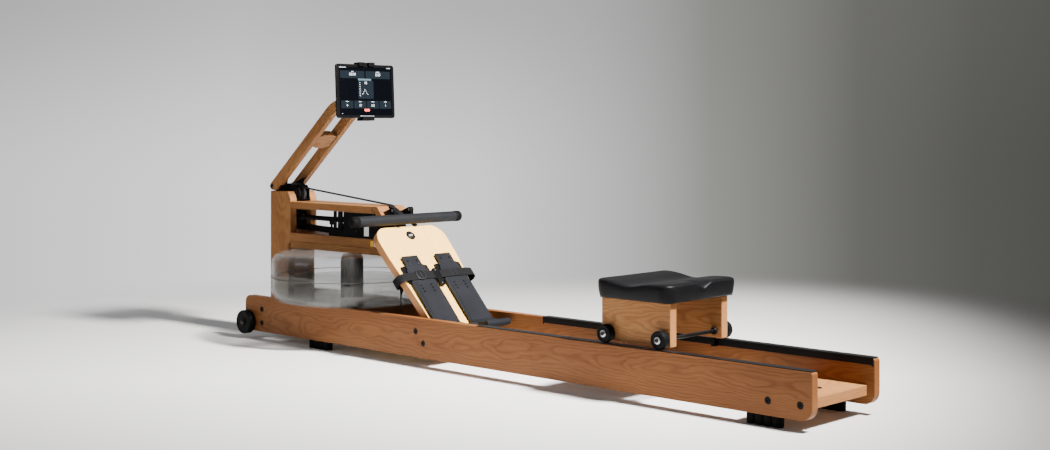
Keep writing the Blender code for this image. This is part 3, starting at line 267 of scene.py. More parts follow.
def clear(name):
    """Clear moulded plastic with a smoky cast: see-through where it faces the eye, with a painted pale
    highlight at its rim.
    """
    s = Shader(name, Roughness=0.05, IOR=1.5, Specular_IOR_Level=0.9, Coat_Weight=0.6, Coat_Roughness=0.03)
    flow = s.noise(s.place(scale=(1.0, 1.0, 2.6)), 9.0, 2.0)
    edge = s.node("LayerWeight", {"Blend": 0.30}).outputs["Facing"]
    body = s.ramp(flow, ((0.3, (0.050, 0.050, 0.050)), (0.7, (0.085, 0.085, 0.083))))
    # The base colour turns pale grey where the surface turns from the eye: a painted rim highlight.
    s.colour(s.blend(s.span(edge, 0.45, 0.95), body, (0.42, 0.42, 0.42)))
    rim = s.math("MULTIPLY", s.math("POWER", edge, 2.0), 0.50)
    s.link(s.math("ADD", rim, 0.13, clamp=True), s.surface.inputs["Alpha"])
    s.bump(flow, 0.10, 0.002)
    return s.material


def water(name):
    s = Shader(name, Roughness=0.03, IOR=1.333, Specular_IOR_Level=0.35)
    ripple = s.noise(s.place(scale=(1.0, 1.0, 0.4)), 16.0, 3.0, 0.5, 0.4)
    s.colour(s.ramp(ripple, ((0.3, (0.150, 0.160, 0.142)), (0.7, (0.240, 0.252, 0.226)))))
    edge = s.node("LayerWeight", {"Blend": 0.4}).outputs["Facing"]
    s.link(s.math("ADD", s.math("MULTIPLY", edge, 0.25), 0.20, clamp=True), s.surface.inputs["Alpha"])
    s.bump(ripple, 0.08, 0.002)
    return s.material


def smoked(name):
    """The paddles' dark plastic, with lighter vertical streaks painted in as highlights."""
    s = Shader(name, Roughness=0.22, Specular_IOR_Level=0.30)
    painted_highlight_streaks = s.noise(s.place(scale=(60.0, 60.0, 2.0)), 1.0, 1.0)
    # The lighter streaks are painted highlights, not a tint of the plastic.
    shades = ((0.40, (0.0015, 0.0015, 0.0018)), (0.62, (0.005, 0.005, 0.0055)), (0.74, (0.030, 0.030, 0.031)))
    s.colour(s.ramp(painted_highlight_streaks, shades))
    s.roughness(s.span(painted_highlight_streaks, 0.3, 0.7, 0.18, 0.32))
    return s.material


def glow(name, colour):
    """A lit part of the display."""
    s = Shader(name, Roughness=0.35, Emission_Strength=1.0, Specular_IOR_Level=0.06)
    haze = s.noise(s.place(), 400.0, 1.0)
    shade = s.ramp(haze, ((0.3, tuple(c * 0.93 for c in colour)), (0.7, colour)))
    s.colour(shade)
    s.link(shade, s.surface.inputs["Emission Color"])
    return s.material


BLACK_PLASTIC = plastic("black_plastic_grain", (0.0024, 0.0024, 0.0027), 0.45)
BLACK_GLOSS = plastic("black_gloss", (0.0050, 0.0050, 0.0055), 0.22, 600.0, 0.08, coat=0.15)
BLACK_PAINT = plastic("black_powder_coat", (0.0055, 0.0055, 0.0060), 0.40, 1400.0, 0.4)
SLATE = plastic("slate_rubber", (0.0085, 0.0092, 0.0115), 0.42, 1100.0, 0.35, shine=0.11)
TYRE = plastic("wheel_rubber", (0.0022, 0.0022, 0.0024), 0.5, 800.0, 0.3)
PAD_RUBBER = plastic("foot_rubber", (0.0018, 0.0018, 0.0018), 0.7, 500.0, 0.5)
GRIP = plastic("grip_rubber", (0.0095, 0.0100, 0.0118), 0.55, 1600.0, 0.6, shine=0.08)
GREY_PLASTIC = plastic("grey_plastic_grain", (0.035, 0.035, 0.038), 0.4)
PALE_PLASTIC = plastic("pale_plastic", (0.34, 0.34, 0.35), 0.4)
STEEL = metal("turned_steel", (0.55, 0.55, 0.56), 0.30)
DARK_STEEL = metal("blackened_steel", (0.030, 0.030, 0.031), 0.38)
STRAP_CLOTH = webbing("strap_webbing", (0.0050, 0.0050, 0.0055))
CORD_CLOTH = webbing("cord_braid", (0.0055, 0.0055, 0.0060), 0.0022, (0.6, 0.6, 0.6))


# ---------------------------------------------------------------- mesh helpers


def placed(name, data):
    """A new object in the scene."""
    made = bpy.data.objects.new(name, data)
    bpy.context.scene.collection.objects.link(made)
    return made


def shown(name, mesh, material, body, smooth=35, replaces=(), bevel=0.0, segments=2, subdivide=0):
    """Makes a piece from a bmesh drawn in world coordinates, and lets it ride on a body."""
    bmesh.ops.recalc_face_normals(mesh, faces=mesh.faces)
    data = bpy.data.meshes.new(name)
    mesh.to_mesh(data)
    mesh.free()
    data.materials.append(material)
    if smooth:
        data.shade_smooth()
        data.set_sharp_from_angle(angle=math.radians(smooth))
    made = placed(name, data)
    if bevel:
        soften(made, bevel, segments)
    if subdivide:
        level = made.modifiers.new("subdivide", "SUBSURF")
        level.levels = level.render_levels = subdivide
    if body:
        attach(made, body)
    if replaces:
        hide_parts(*replaces)
    return made


def soften(target, width, segments=2, angle=35):
    """Rounds the edges and shades across them."""
    bevel = target.modifiers.new("soften", "BEVEL")
    bevel.width = width
    bevel.segments = segments
    bevel.limit_method = "ANGLE"
    bevel.angle_limit = math.radians(angle)
    bevel.harden_normals = True
    return target


def dress(name, material, bevel=0.0, segments=2, smooth=0):
    """Gives a CAD node its finish."""
    node = nodes[name]
    node.data.materials.clear()
    node.data.materials.append(material)
    if smooth:
        node.data.shade_smooth()
        node.data.set_sharp_from_angle(angle=math.radians(smooth))
    if bevel:
        weld = node.modifiers.new("weld", "WELD")
        weld.merge_threshold = 0.00001
        soften(node, bevel, segments)


def lathe(profile, centre, axis="Z", segments=64):
    """A closed profile of (radius, height) points, turned about an axis through centre."""
    mesh = bmesh.new()
    verts = [mesh.verts.new((radius, 0.0, height)) for radius, height in profile]
    edges = [mesh.edges.new(pair) for pair in zip(verts, verts[1:] + verts[:1])]
    bmesh.ops.spin(mesh, geom=verts + edges, cent=(0, 0, 0), axis=(0, 0, 1), dvec=(0, 0, 0),
                   angle=math.tau, steps=segments, use_merge=True)
    bmesh.ops.remove_doubles(mesh, verts=mesh.verts, dist=1e-6)
    bmesh.ops.dissolve_degenerate(mesh, dist=1e-7, edges=mesh.edges)
    turn = {"X": Matrix.Rotation(math.pi / 2, 4, "Y"), "Y": Matrix.Rotation(-math.pi / 2, 4, "X"),
            "Z": Matrix()}
    bmesh.ops.transform(mesh, matrix=Matrix.Translation(centre) @ turn[axis], verts=mesh.verts)
    return mesh


def rectangle(left, low, right, high):
    return [(left, low), (right, low), (right, high), (left, high)]


def arc(centre, radius, start, end, steps):
    """Points round a centre, from one angle in degrees to another."""
    angles = [math.radians(start + (end - start) * n / steps) for n in range(steps + 1)]
    return [(centre[0] + radius * math.cos(a), centre[1] + radius * math.sin(a)) for a in angles]


def extruded(outline, low, high, to_world=lambda u, v, w: (u, w, v)):
    """An outline of (u, v) points extruded from w = low to high."""
    mesh = bmesh.new()
    face = mesh.faces.new([mesh.verts.new(to_world(u, v, low)) for u, v in outline])
    shift = Vector(to_world(0, 0, high)) - Vector(to_world(0, 0, low))
    moved = bmesh.ops.extrude_face_region(mesh, geom=[face])["geom"]
    bmesh.ops.translate(mesh, vec=shift,
                        verts=[item for item in moved if isinstance(item, bmesh.types.BMVert)])
    return mesh


def slab(low, high):
    """A box between two corners, to be softened by its bevel."""
    mesh = bmesh.new()
    size, centre = Vector(high) - Vector(low), (Vector(high) + Vector(low)) / 2
    bmesh.ops.create_cube(mesh, size=1.0, matrix=Matrix.Translation(centre) @ Matrix.Diagonal((*size, 1.0)))
    return mesh


def smooth_path(points, count):
    """Points along a Catmull-Rom curve through the given ones."""
    points = [Vector(p) for p in points]
    made = []
    spans = len(points) - 1
    for n in range(count):
        place = n / (count - 1) * spans
        k = min(int(place), spans - 1)
        t = place - k
        a, b = points[max(k - 1, 0)], points[k]
        c, d = points[k + 1], points[min(k + 2, spans)]
        square, cube = 2 * a - 5 * b + 4 * c - d, 3 * b - a - 3 * c + d
        made.append(0.5 * ((2 * b) + (c - a) * t + square * t * t + cube * t ** 3))
    return made


def joined(mesh, rings):
    """Joins rings of vertices into one closed skin."""
    for first, second in zip(rings, rings[1:]):
        for n in range(len(first)):
            m = (n + 1) % len(first)
            mesh.faces.new((first[n], first[m], second[m], second[n]))
    mesh.faces.new(rings[0])
    mesh.faces.new(rings[-1])
    return mesh


def ribbon(stations, width, thickness, edge=0.3):
    """A flat strap through (point, width direction, thickness direction) stations, with rounded selvedges."""
    mesh = bmesh.new()
    rings = []
    half, deep = width / 2, thickness / 2
    section = [(half, 0.0), (half - deep * edge * 2, deep), (0.0, deep), (deep * edge * 2 - half, deep)]
    section += [(-half, 0.0), (deep * edge * 2 - half, -deep), (0.0, -deep), (half - deep * edge * 2, -deep)]
    for point, across, out in stations:
        across, out = Vector(across).normalized(), Vector(out).normalized()
        rings.append([mesh.verts.new(Vector(point) + across * u + out * v) for u, v in section])
    return joined(mesh, rings)


def tube(points, radius, sides=16):
    """A round bar or cord along points."""
    mesh = bmesh.new()
    points = [Vector(p) for p in points]
    rings = []
    out = Vector((0, 0, 1))
    for n, point in enumerate(points):
        run = (points[min(n + 1, len(points) - 1)] - points[max(n - 1, 0)]).normalized()
        side = run.cross(out)
        if side.length < 0.1:
            side = run.cross(Vector((0, 1, 0)))
        side.normalize()
        up = side.cross(run).normalized()
        ring = []
        for k in range(sides):
            a = math.tau * k / sides
            ring.append(mesh.verts.new(point + radius * (math.cos(a) * side + math.sin(a) * up)))
        rings.append(ring)
    return joined(mesh, rings)


def merged(meshes):
    whole = bmesh.new()
    for mesh in meshes:
        data = bpy.data.meshes.new("part")
        mesh.to_mesh(data)
        mesh.free()
        whole.from_mesh(data)
        bpy.data.meshes.remove(data)
    return whole


def mirrored(mesh):
    twin = mesh.copy()
    bmesh.ops.scale(twin, vec=(1, -1, 1), verts=twin.verts)
    bmesh.ops.reverse_faces(twin, faces=twin.faces)
    return twin


def hex_socket(radius, depth, face):
    """The section of a socket-head bolt's face, seen from its axis outwards."""
    return [(0, face - depth), (radius, face - depth), (radius, face)]


# ---------------------------------------------------------------- wooden frame and decks

grain_runs = {
    "rail_near": ("X", 1.0, (0.04, 0.058, 0.004)), "rail_far": ("X", 2.3, (0.0, 0.062, -0.010)),
    "front_cross_board": ("Y", 3.1, (0.09, 0.0, 0.0)), "rear_cross_board": ("Y", 4.4, (0.0, 0.0, -0.07)),
    "footboard_cross_bar": ("Y", 5.2, (0.0, 0.0, -0.09)), "upright_near": ("Z", 6.7, (0.03, 0.11, 0.0)),
    "upright_far": ("Z", 7.9, (0.02, 0.10, 0.0)), "upper_deck": ("X", 8.3, (0.0, 0.02, -0.09)),
    "deck_nose_board": ("Y", 9.6, (-0.10, 0.0, -0.05)), "lower_deck": ("X", 10.2, (0.0, 0.03, -0.10)),
    "tank_clamp_board": ("X", 11.9, (0.0, 0.02, -0.08)), "seat_plate_near": ("X", 12.4, (0.0, 0.060, 0.006)),
    "seat_plate_far": ("X", 13.3, (0.0, 0.07, 0.0)), "seat_base_board": ("Y", 14.8, (0.0, 0.0, -0.10)),
    "arm_strip_near": ("arm", 15.0, (0.0, 0.07, 0.0)), "arm_strip_far": ("arm", 16.7, (0.0, 0.07, 0.0)),
    "arm_spreader": ("Y", 18.4, (0.05, 0.0, -0.06)),
}
for name, (grain, seed, offset) in grain_runs.items():
    # The rails get a darker copy of the oak: painted shade for the shade their faces sit in.
    painted_shade_scale = 0.62 if name.startswith("rail") else 1.0
    dress(name, wood(f"oak_{name}", grain, seed, middle(name) + Vector(offset), painted_shade_scale))
dress("footboard", birch("birch_footboard"))


# ---------------------------------------------------------------- black fittings carried over from the frame

for name in ("rubber_foot_front_near", "rubber_foot_front_far", "rubber_foot_rear_near",
             "rubber_foot_rear_far"):
    dress(name, PAD_RUBBER, 0.0015, 3)
for name in ("track_near", "track_far"):
    dress(name, BLACK_PAINT, 0.0004)
dress("handle_rest", BLACK_GLOSS, 0.0010, 3, 40)
dress("tower_bracket", BLACK_PAINT, 0.0006, 2)
dress("drum_bracket", BLACK_PLASTIC, 0.0008, 2)
dress("arm_bracket", BLACK_PAINT, 0.0006, 2)
turned_parts = (("arm_pivot_bolt", DARK_STEEL), ("transport_axle", BLACK_GLOSS), ("tower_pulley_axle", STEEL),
                ("seat_axle_front", DARK_STEEL), ("seat_axle_rear", DARK_STEEL), ("shaft_bearing", STEEL))
for name, material in turned_parts:
    dress(name, material, smooth=40)
dress("tank_plug", PAD_RUBBER, 0.0005, 2, 40)
dress("holder_knuckle", BLACK_PLASTIC, 0.0006, 2, 40)
dress("tablet_holder", BLACK_PLASTIC, 0.0012, 3)
dress("holder_jaw", BLACK_PLASTIC, 0.0012, 3)
for name in ("clutch_drum", "tower_pulley", "lower_pulley", "recoil_pulley"):
    dress(name, GREY_PLASTIC if "pulley" in name else BLACK_PLASTIC, smooth=35)
dress("impeller", smoked("smoked_paddles"), 0.0006, 2, 40)


# ---------------------------------------------------------------- tank

low_box, high_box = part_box("tank_lower_shell"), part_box("tank_upper_shell")
tank_x = (low_box[0].x + low_box[1].x) / 2
flange = (low_box[1].x - low_box[0].x) / 2
tank_bottom, tank_seam, tank_top = low_box[0].z, low_box[1].z, high_box[1].z
wall, tank_radius, corner = 0.004, flange - 0.003, 0.034


def shell(wall_z, seam_z, hole):
    """A tank half: flat end, deep round corner, straight side and flange."""
    up = 1 if seam_z > wall_z else -1
    flat, inside = tank_radius - corner, tank_radius - wall
    outer = arc((flat, wall_z + up * corner), corner, -90 * up, 0, 14)
    inner = arc((flat, wall_z + up * corner), corner - wall, 0, -90 * up, 14)
    lip = seam_z - up * 0.0026
    rim = [(tank_radius, lip - up * 0.001), (tank_radius + 0.001, lip), (flange - 0.0006, lip)]
    rim += [(flange, lip + up * 0.0006), (flange, seam_z), (inside, seam_z)]
    return [(hole, wall_z)] + outer + rim + inner + [(hole, wall_z + up * wall)]


tank_plastic = clear("clear_tank_plastic")
lower = lathe(shell(tank_bottom, tank_seam - 0.0006, 0.0), (tank_x, 0, 0), "Z", 160)
shown("tank_lower", lower, tank_plastic, "frame", 40, ("tank_lower_shell",))
upper = lathe(shell(tank_top, tank_seam + 0.0010, 0.0175), (tank_x, 0, 0), "Z", 160)
shown("tank_upper", upper, tank_plastic, "frame", 40, ("tank_upper_shell",))
ring = rectangle(tank_radius - wall, tank_seam - 0.0004, flange + 0.0003, tank_seam + 0.0008)
shown("tank_seal", lathe(ring, (tank_x, 0, 0), "Z", 160), GREY_PLASTIC, "frame")
side, base, surface = tank_radius - wall - GAP, tank_bottom + wall + GAP, 0.199
body_of_water = [(0, base)] + arc((side - 0.030, base + 0.030), 0.030, -90, 0, 12)
body_of_water += [(side, surface + 0.0012), (side - 0.002, surface + 0.0002), (side - 0.006, surface),
                  (0, surface)]
shown("tank_water", lathe(body_of_water, (tank_x, 0, 0), "Z", 128), water("tank_water_surface"), "frame", 40)


# ---------------------------------------------------------------- handle and drive

hx, hz = middle("handle").x, middle("handle").z
half = (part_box("handle")[1].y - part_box("handle")[0].y) / 2
grip_profile = [(0, -half)] + arc((0.0065, 0.0095 - half), 0.0095, -90, 0, 6)
for n in range(121):
    y = (half - 0.012) * (n / 60 - 1)
    swell = 0.00025 * math.cos(n * math.pi) if abs(y) > 0.03 else 0.0
    grip_profile.append((0.0155 + swell, y))
grip_profile += arc((0.0065, half - 0.0095), 0.0095, 0, 90, 6) + [(0, half)]
shown("handle_grip", lathe(grip_profile, (hx, 0, hz), "Y", 48), GRIP, "handle", 60, ("handle",))
cap = [(0.0156, half - 0.026), (0.0161, half - 0.0252)] + arc((0.0075, half - 0.0085), 0.0086, 0, 90, 6)
cap += [(0, half + 0.0002), (0, half - 0.026)]
end_cap = lathe(cap, (hx, 0, hz), "Y", 48)
shown("handle_end_caps", merged([mirrored(end_cap), end_cap]), PAD_RUBBER, "handle", 40)

strap_width, strap_t = 0.020, 0.0024
lift = strap_t / 2 + GAP
tower_c, tower_r = middle("tower_pulley"), 0.0235
lower_c, lower_r = middle("lower_pulley"), 0.011
drum_c = middle("clutch_drum")
nose_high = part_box("deck_nose_board")[1]
nose = Vector((nose_high.x - 0.036, 0, nose_high.z))


def turn_round(centre, radius, start, end, steps):
    """Stations of a strap that lies round a pulley, between two angles in degrees."""
    stations = []
    for n in range(steps + 1):
        a = math.radians(start + (end - start) * n / steps)
        out = Vector((math.cos(a), 0, math.sin(a)))
        stations.append((Vector((centre.x, 0, centre.z)) + out * radius, (0, 1, 0), out))
    return stations


def straight(a, b, out_a, out_b, count):
    """Stations between two others, not counting them."""
    made = []
    for n in range(1, count):
        t = n / count
        made.append((Vector(a).lerp(Vector(b), t), (0, 1, 0), Vector(out_a).lerp(Vector(out_b), t)))
    return made


over_nose = turn_round(Vector((nose.x - 0.003, 0, nose.z - 0.003)), 0.0051 + lift, 62, 85, 5)
over_top = turn_round(tower_c, tower_r + lift, 85, 180, 20)
under_low = turn_round(lower_c, lower_r + lift, 180, 270, 12)
route = over_nose[-1:] + straight(over_nose[-1][0], over_top[0][0], over_nose[-1][2], over_top[0][2], 14)
route += over_top + straight(over_top[-1][0], under_low[0][0], over_top[-1][2], under_low[0][2],
                             5) + under_low
drum_r, strap_z = 0.040 + lift + GAP, lower_c.z - lower_r - lift
entry = lower_c.x + 0.015
for n in range(33):
    t = n / 32
    twist = math.radians(90) * min(t * (drum_c.x - entry) / 0.075, 1.0)
    ease = t * t * (3 - 2 * t)
    x = entry + (drum_c.x - entry) * t
    route.append((Vector((x, -drum_r * ease, strap_z)), (0, math.cos(twist), math.sin(twist)),
                  (0, math.sin(twist), -math.cos(twist))))
for angle in range(-86, 101, 6):
    a = math.radians(angle)
    out = Vector((math.cos(a), math.sin(a), 0))
    route.append((Vector((drum_c.x, 0, strap_z)) + out * drum_r, (0, 0, 1), -out))
shown("drive_strap_run", ribbon(route, strap_width, strap_t), STRAP_CLOTH, "frame", 40, ("drive_strap",))

start = math.radians(151)
grab = Vector((hx, 0, hz)) + Vector((math.cos(start), 0, math.sin(start))) * (0.0162 + lift)
lead = [over_nose[-1]] + over_nose[-2::-1]
lead += straight(lead[-1][0], grab, lead[-1][2], (0.48, 0, 0.88), 40) + [(grab, (0, 1, 0), (0.48, 0, 0.88))]
pulled = shown("drive_strap_lead", ribbon(lead, strap_width, strap_t), STRAP_CLOTH, None, 40)
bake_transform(pulled)
recoil_c = middle("recoil_pulley")
cord_z = recoil_c.z
cord_r = 0.0055
reach, spool = 0.011 + cord_r + GAP, 0.022 + cord_r + GAP
cord = [(-0.6185, -0.0300), (-0.7500, -0.0310), (-0.8600, -0.0205)]
cord += arc((recoil_c.x, 0), reach, -90, -270, 15)
cord += [(-0.8000, 0.0225)]
cord += arc((drum_c.x, 0), spool, 90, 0, 9)
cord_path = [(x, y, cord_z) for x, y in cord]
shown("recoil_cord", tube(cord_path, cord_r, 14), CORD_CLOTH, "frame", 60, ("recoil_bungee",))


# ---------------------------------------------------------------- wheels and bolts


def wheel_profile(inner, outer, radius, hub, bore, groove=0.0010):
    """A wheel's section from its inner to its outer face, with a lipped tyre and a dished hub."""
    tread = []
    count = 5
    for n in range(count):
        y = inner + 0.004 + (outer - inner - 0.008) * n / (count - 1)
        tread.append((radius - (groove if n in (1, 3) else 0.0), y))
    inner_face = [(bore, inner), (hub, inner), (hub + 0.002, inner + 0.0014), (radius * 0.80, inner + 0.0014)]
    inner_face += [(radius * 0.84, inner + 0.0004), (radius - 0.0025, inner + 0.0004)]
    inner_face.append((radius - 0.0006, inner + 0.0018))
    outer_face = [(radius - 0.0006, outer - 0.0018), (radius - 0.0025, outer - 0.0004)]
    outer_face += [(radius * 0.84, outer - 0.0004), (radius * 0.80, outer - 0.0016)]
    outer_face += [(hub + 0.002, outer - 0.0020), (hub, outer - 0.0006), (bore, outer - 0.0006)]
    return inner_face + tread + outer_face


for name in ("seat_wheel_front_near", "seat_wheel_front_far", "seat_wheel_rear_near", "seat_wheel_rear_far"):
    low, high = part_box(name)
    at, side = middle(name), (1 if low.y > 0 else -1)
    inner, outer = (low.y, high.y) if side > 0 else (-high.y, -low.y)
    body = "seat_front_wheels" if "front" in name else "seat_rear_wheels"
    tyre = lathe(wheel_profile(inner, outer, (high.z - low.z) / 2, 0.0105, 0.0060, 0.0), (at.x, 0, at.z), "Y",
                 48)
    washer = [(0.0026, outer - 0.0010), (0.0084, outer - 0.0010), (0.0088, outer - 0.0002),
              (0.0082, outer + 0.0004),
              (0.0058, outer + 0.0006), (0.0052, outer + 0.0016), (0.0034, outer + 0.0018),
              (0.0026, outer + 0.0010)]
    hub = lathe(washer, (at.x, 0, at.z), "Y", 32)
    plug = lathe(rectangle(0, outer - 0.0012, 0.0030, outer + 0.0002), (at.x, 0, at.z), "Y", 16)
    if side < 0:
        tyre, hub, plug = mirrored(tyre), mirrored(hub), mirrored(plug)
    shown(name + "_tyre", tyre, TYRE, body, 35, (name,))
    shown(name + "_washer", hub, STEEL, body, 35)
    shown(name + "_socket", plug, BLACK_PLASTIC, body, 35)

for name in ("transport_wheel_near", "transport_wheel_far"):
    low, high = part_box(name)
    at, side = middle(name), (1 if low.y > 0 else -1)
    inner, outer = (low.y, high.y) if side > 0 else (-high.y, -low.y)
    tyre = lathe(wheel_profile(inner, outer, (high.z - low.z) / 2, 0.0130, 0.0056, 0.0012), (at.x, 0, at.z),
                 "Y", 64)
    button = lathe([(0, outer - 0.001), (0.0098, outer - 0.001), (0.0098, outer + 0.0010),
                    (0.0080, outer + 0.0024), (0, outer + 0.0030)],
                   (at.x, 0, at.z), "Y", 32)
    if side < 0:
        tyre, button = mirrored(tyre), mirrored(button)
    shown(name + "_tyre", tyre, TYRE, name, 35, (name,))
    shown(name + "_cap", button, BLACK_GLOSS, name, 35)

rail_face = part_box("rail_far")[1].y
front_x = middle("front_cross_board").x
bolt_spots = ((front_x, 0.096), (front_x, 0.053), (-0.2365, 0.098), (-0.2055, 0.067), (0.9475, 0.0593),
              (1.0335, 0.0593))
bolts = []
for x, z in bolt_spots:
    face = rail_face - 0.0005
    section = hex_socket(0.0036, 0.0030, face) + [(0.0076, face), (0.0089, face - 0.0010),
                                                  (0.0089, face - 0.0038)]
    section += [(0.0030, face - 0.0038), (0.0030, face - 0.0340), (0, face - 0.0340)]
    bolt = lathe(section, (x, 0, z), "Y", 24)
    bolts += [mirrored(bolt), bolt]
shown("rail_bolts", merged(bolts), BLACK_PAINT, "frame", 35)
tower_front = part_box("upright_near")[0].x
domes = []
for side in (-1, 1):
    dome = [(0, 0.0)]
    dome += [(0.0078 * math.sin(a), 0.0060 * (1 - math.cos(a))) for a in (0.3, 0.6, 0.9, 1.2, 1.5)]
    dome += [(0.0078, 0.0064), (0, 0.0064)]
    domes.append(lathe(dome, (tower_front - 0.0064, side * 0.040, 0.4405), "X", 32))
shown("tower_bolts", merged(domes), BLACK_GLOSS, "frame", 40)

glides = []
for x in (middle("seat_axle_front").x, middle("seat_axle_rear").x):
    section = [(0, 0.1190), (0.0088, 0.1190), (0.0100, 0.1200), (0.0100, 0.1240), (0.0088, 0.1250),
               (0.0030, 0.1254),
               (0.0030, 0.1428), (0, 0.1428)]
    glide = lathe(section, (x - 0.0125, 0.1085, 0), "Z", 32)
    glides += [mirrored(glide), glide]
shown("seat_glides", merged(glides), BLACK_PLASTIC, "seat", 40)
collars = []
for x in (middle("seat_axle_front").x, middle("seat_axle_rear").x):
    z = middle("seat_axle_front").z
    inner_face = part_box("seat_plate_far")[0].y
    collar = lathe([(0.0050, inner_face - 0.0075), (0.0078, inner_face - 0.0075),
                    (0.0090, inner_face - 0.0060),
                    (0.0090, inner_face - GAP), (0.0050, inner_face - GAP)], (x, 0, z), "Y", 24)
    collars += [mirrored(collar), collar]
shown("seat_axle_collars", merged(collars), BLACK_PLASTIC, "seat", 40)


# ---------------------------------------------------------------- seat cushion

low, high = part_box("seat_cushion")
mid_x, half_x, half_y = (low.x + high.x) / 2, (high.x - low.x) / 2, high.y


def cushion_top(u, v):
    """Height of the moulded top at u from front (-1) to rear (1) and v from side to side."""
    scoop = -0.0100 * math.exp(-((u + 0.10) / 0.38) ** 2) * (0.60 + 0.40 * abs(v))
    bowl = -0.0035 * (1 - v * v) * (1 - u * u)
    front = 0.0026 * max(0.0, -u) ** 2
    groove = -0.0160 * max(0.0, 1 - abs(v * half_y) / 0.034) ** 1.15 * max(0.0, (u - 0.52) / 0.48) ** 1.2
    return high.z - 0.0026 + scoop + bowl + front + groove


def cushion_edge(u, v):
    """The plan outline: a rounded rectangle."""
    x, y = mid_x + u * half_x, v * half_y
    r = 0.030
    inner_x, inner_y = half_x - r, half_y - r
    dx, dy = abs(u) * half_x - inner_x, abs(v) * half_y - inner_y
    if dx > 0 and dy > 0:
        scale = max(dx, dy) / math.hypot(dx, dy)
        x = mid_x + math.copysign(inner_x + dx * scale, u)
        y = math.copysign(inner_y + dy * scale, v)
    return x, y


def cushion_mesh():
    """The moulded top, and rings that step down from its rim to the flat underside."""
    mesh = bmesh.new()
    count_u, count_v = 36, 48
    us = [-1 + 2 * n / count_u for n in range(count_u + 1)]
    vs = [-1 + 2 * n / count_v for n in range(count_v + 1)]
    top = {}
    for i, u in enumerate(us):
        for j, v in enumerate(vs):
            x, y = cushion_edge(u, v)
            rim = max(abs(u), abs(v))
            drop = 0.0042 * max(0.0, (rim - 0.86) / 0.14) ** 2.2
            top[i, j] = mesh.verts.new((x, y, cushion_top(u, v) - drop))
    for i in range(count_u):
        for j in range(count_v):
            mesh.faces.new((top[i, j], top[i + 1, j], top[i + 1, j + 1], top[i, j + 1]))
    loop = [(i, 0) for i in range(count_u)] + [(count_u, j) for j in range(count_v)]
    loop += [(i, count_v) for i in range(count_u, 0, -1)] + [(0, j) for j in range(count_v, 0, -1)]
    rings = [[top[key] for key in loop]]
    shares = ((0.12, 1.0030), (0.24, 1.0055), (0.5, 1.0010), (0.86, 0.985), (0.945, 0.976), (1.0, 0.955))
    centre = Vector((mid_x - 0.002, 0, 0))
    for share, scale in shares:
        ring = []
        for vert in rings[0]:
            z = vert.co.z + (low.z - vert.co.z) * share
            flat = Vector((vert.co.x, vert.co.y, 0)) - centre
            flat *= scale
            ring.append(mesh.verts.new((centre.x + flat.x, flat.y, z)))
        previous = rings[-1]
        for k in range(len(ring)):
            m = (k + 1) % len(ring)
            mesh.faces.new((previous[k], previous[m], ring[m], ring[k]))
        rings.append(ring)
    mesh.faces.new(rings[-1][::-1])
    return mesh


def seat_skin(name):
    """Moulded polyurethane: satin, with a fine pebble and slight scuffing."""
    s = Shader(name, Specular_IOR_Level=0.10)
    where = s.place()
    pebble = s.node("TexVoronoi", {"Vector": where, "Scale": 620.0}, feature="SMOOTH_F1").outputs["Distance"]
    broad = s.noise(where, 11.0, 4.0, 0.6)
    scuff = s.noise(s.place(scale=(1.0, 0.35, 1.0)), 42.0, 3.0, 0.65)
    tint = s.math("ADD", s.math("MULTIPLY", broad, 0.6), s.math("MULTIPLY", scuff, 0.4))
    s.colour(s.ramp(tint, ((0.3, (0.0018, 0.0018, 0.0023)), (0.7, (0.0032, 0.0032, 0.0040)))))
    s.roughness(s.span(s.math("ADD", broad, scuff), 0.6, 1.4, 0.36, 0.52))
    s.bump(pebble, 0.22, 0.0005)
    return s.material


cushion = shown("seat_cushion_skin", cushion_mesh(), seat_skin("seat_skin"), "seat", 70, ("seat_cushion",),
                subdivide=1)
tray_low = low.z + 0.0002
tray = extruded([cushion_edge(u, v) for u, v in rectangle(-0.97, -0.95, 0.97, 0.95)],
                tray_low, tray_low + 0.002, lambda u, v, w: (u, v, w))
shown("seat_tray", tray, BLACK_PLASTIC, "seat", 0)


# ---------------------------------------------------------------- footboard fittings

down = Vector((math.cos(BOARD_SLOPE), 0, -math.sin(BOARD_SLOPE)))
off = Vector((math.sin(BOARD_SLOPE), 0, math.cos(BOARD_SLOPE)))
board_top = Vector((-0.4391, 0, 0.3771))


def on_board(distance, y, height):
    """The point at a distance down the board, and a height off its face."""
    return board_top + down * distance + off * height + Vector((0, y, 0))


def board_slab(outline, low, high):
    return extruded(outline, low, high, on_board)


def board_disc(distance, y, section, segments=40):
    """A lathe on the board, its axis off the board's face."""
    mesh = lathe(section, (0, 0, 0), "Z", segments)
    turn = off.to_track_quat("Z", "Y").to_matrix().to_4x4()
    bmesh.ops.transform(mesh, matrix=Matrix.Translation(on_board(distance, y, 0)) @ turn, verts=mesh.verts)
    return mesh


def rounded(points, radius, steps=4):
    """An outline with its corners rounded."""
    made = []
    count = len(points)
    for n in range(count):
        before, here, after = Vector(points[n - 1]), Vector(points[n]), Vector(points[(n + 1) % count])
        a, b = (before - here).normalized(), (after - here).normalized()
        reach = min(radius, (before - here).length * 0.45, (after - here).length * 0.45)
        start, end = here + a * reach, here + b * reach
        for k in range(steps + 1):
            t = k / steps
            made.append(tuple(start * (1 - t) ** 2 + here * 2 * t * (1 - t) + end * t * t))
    return made


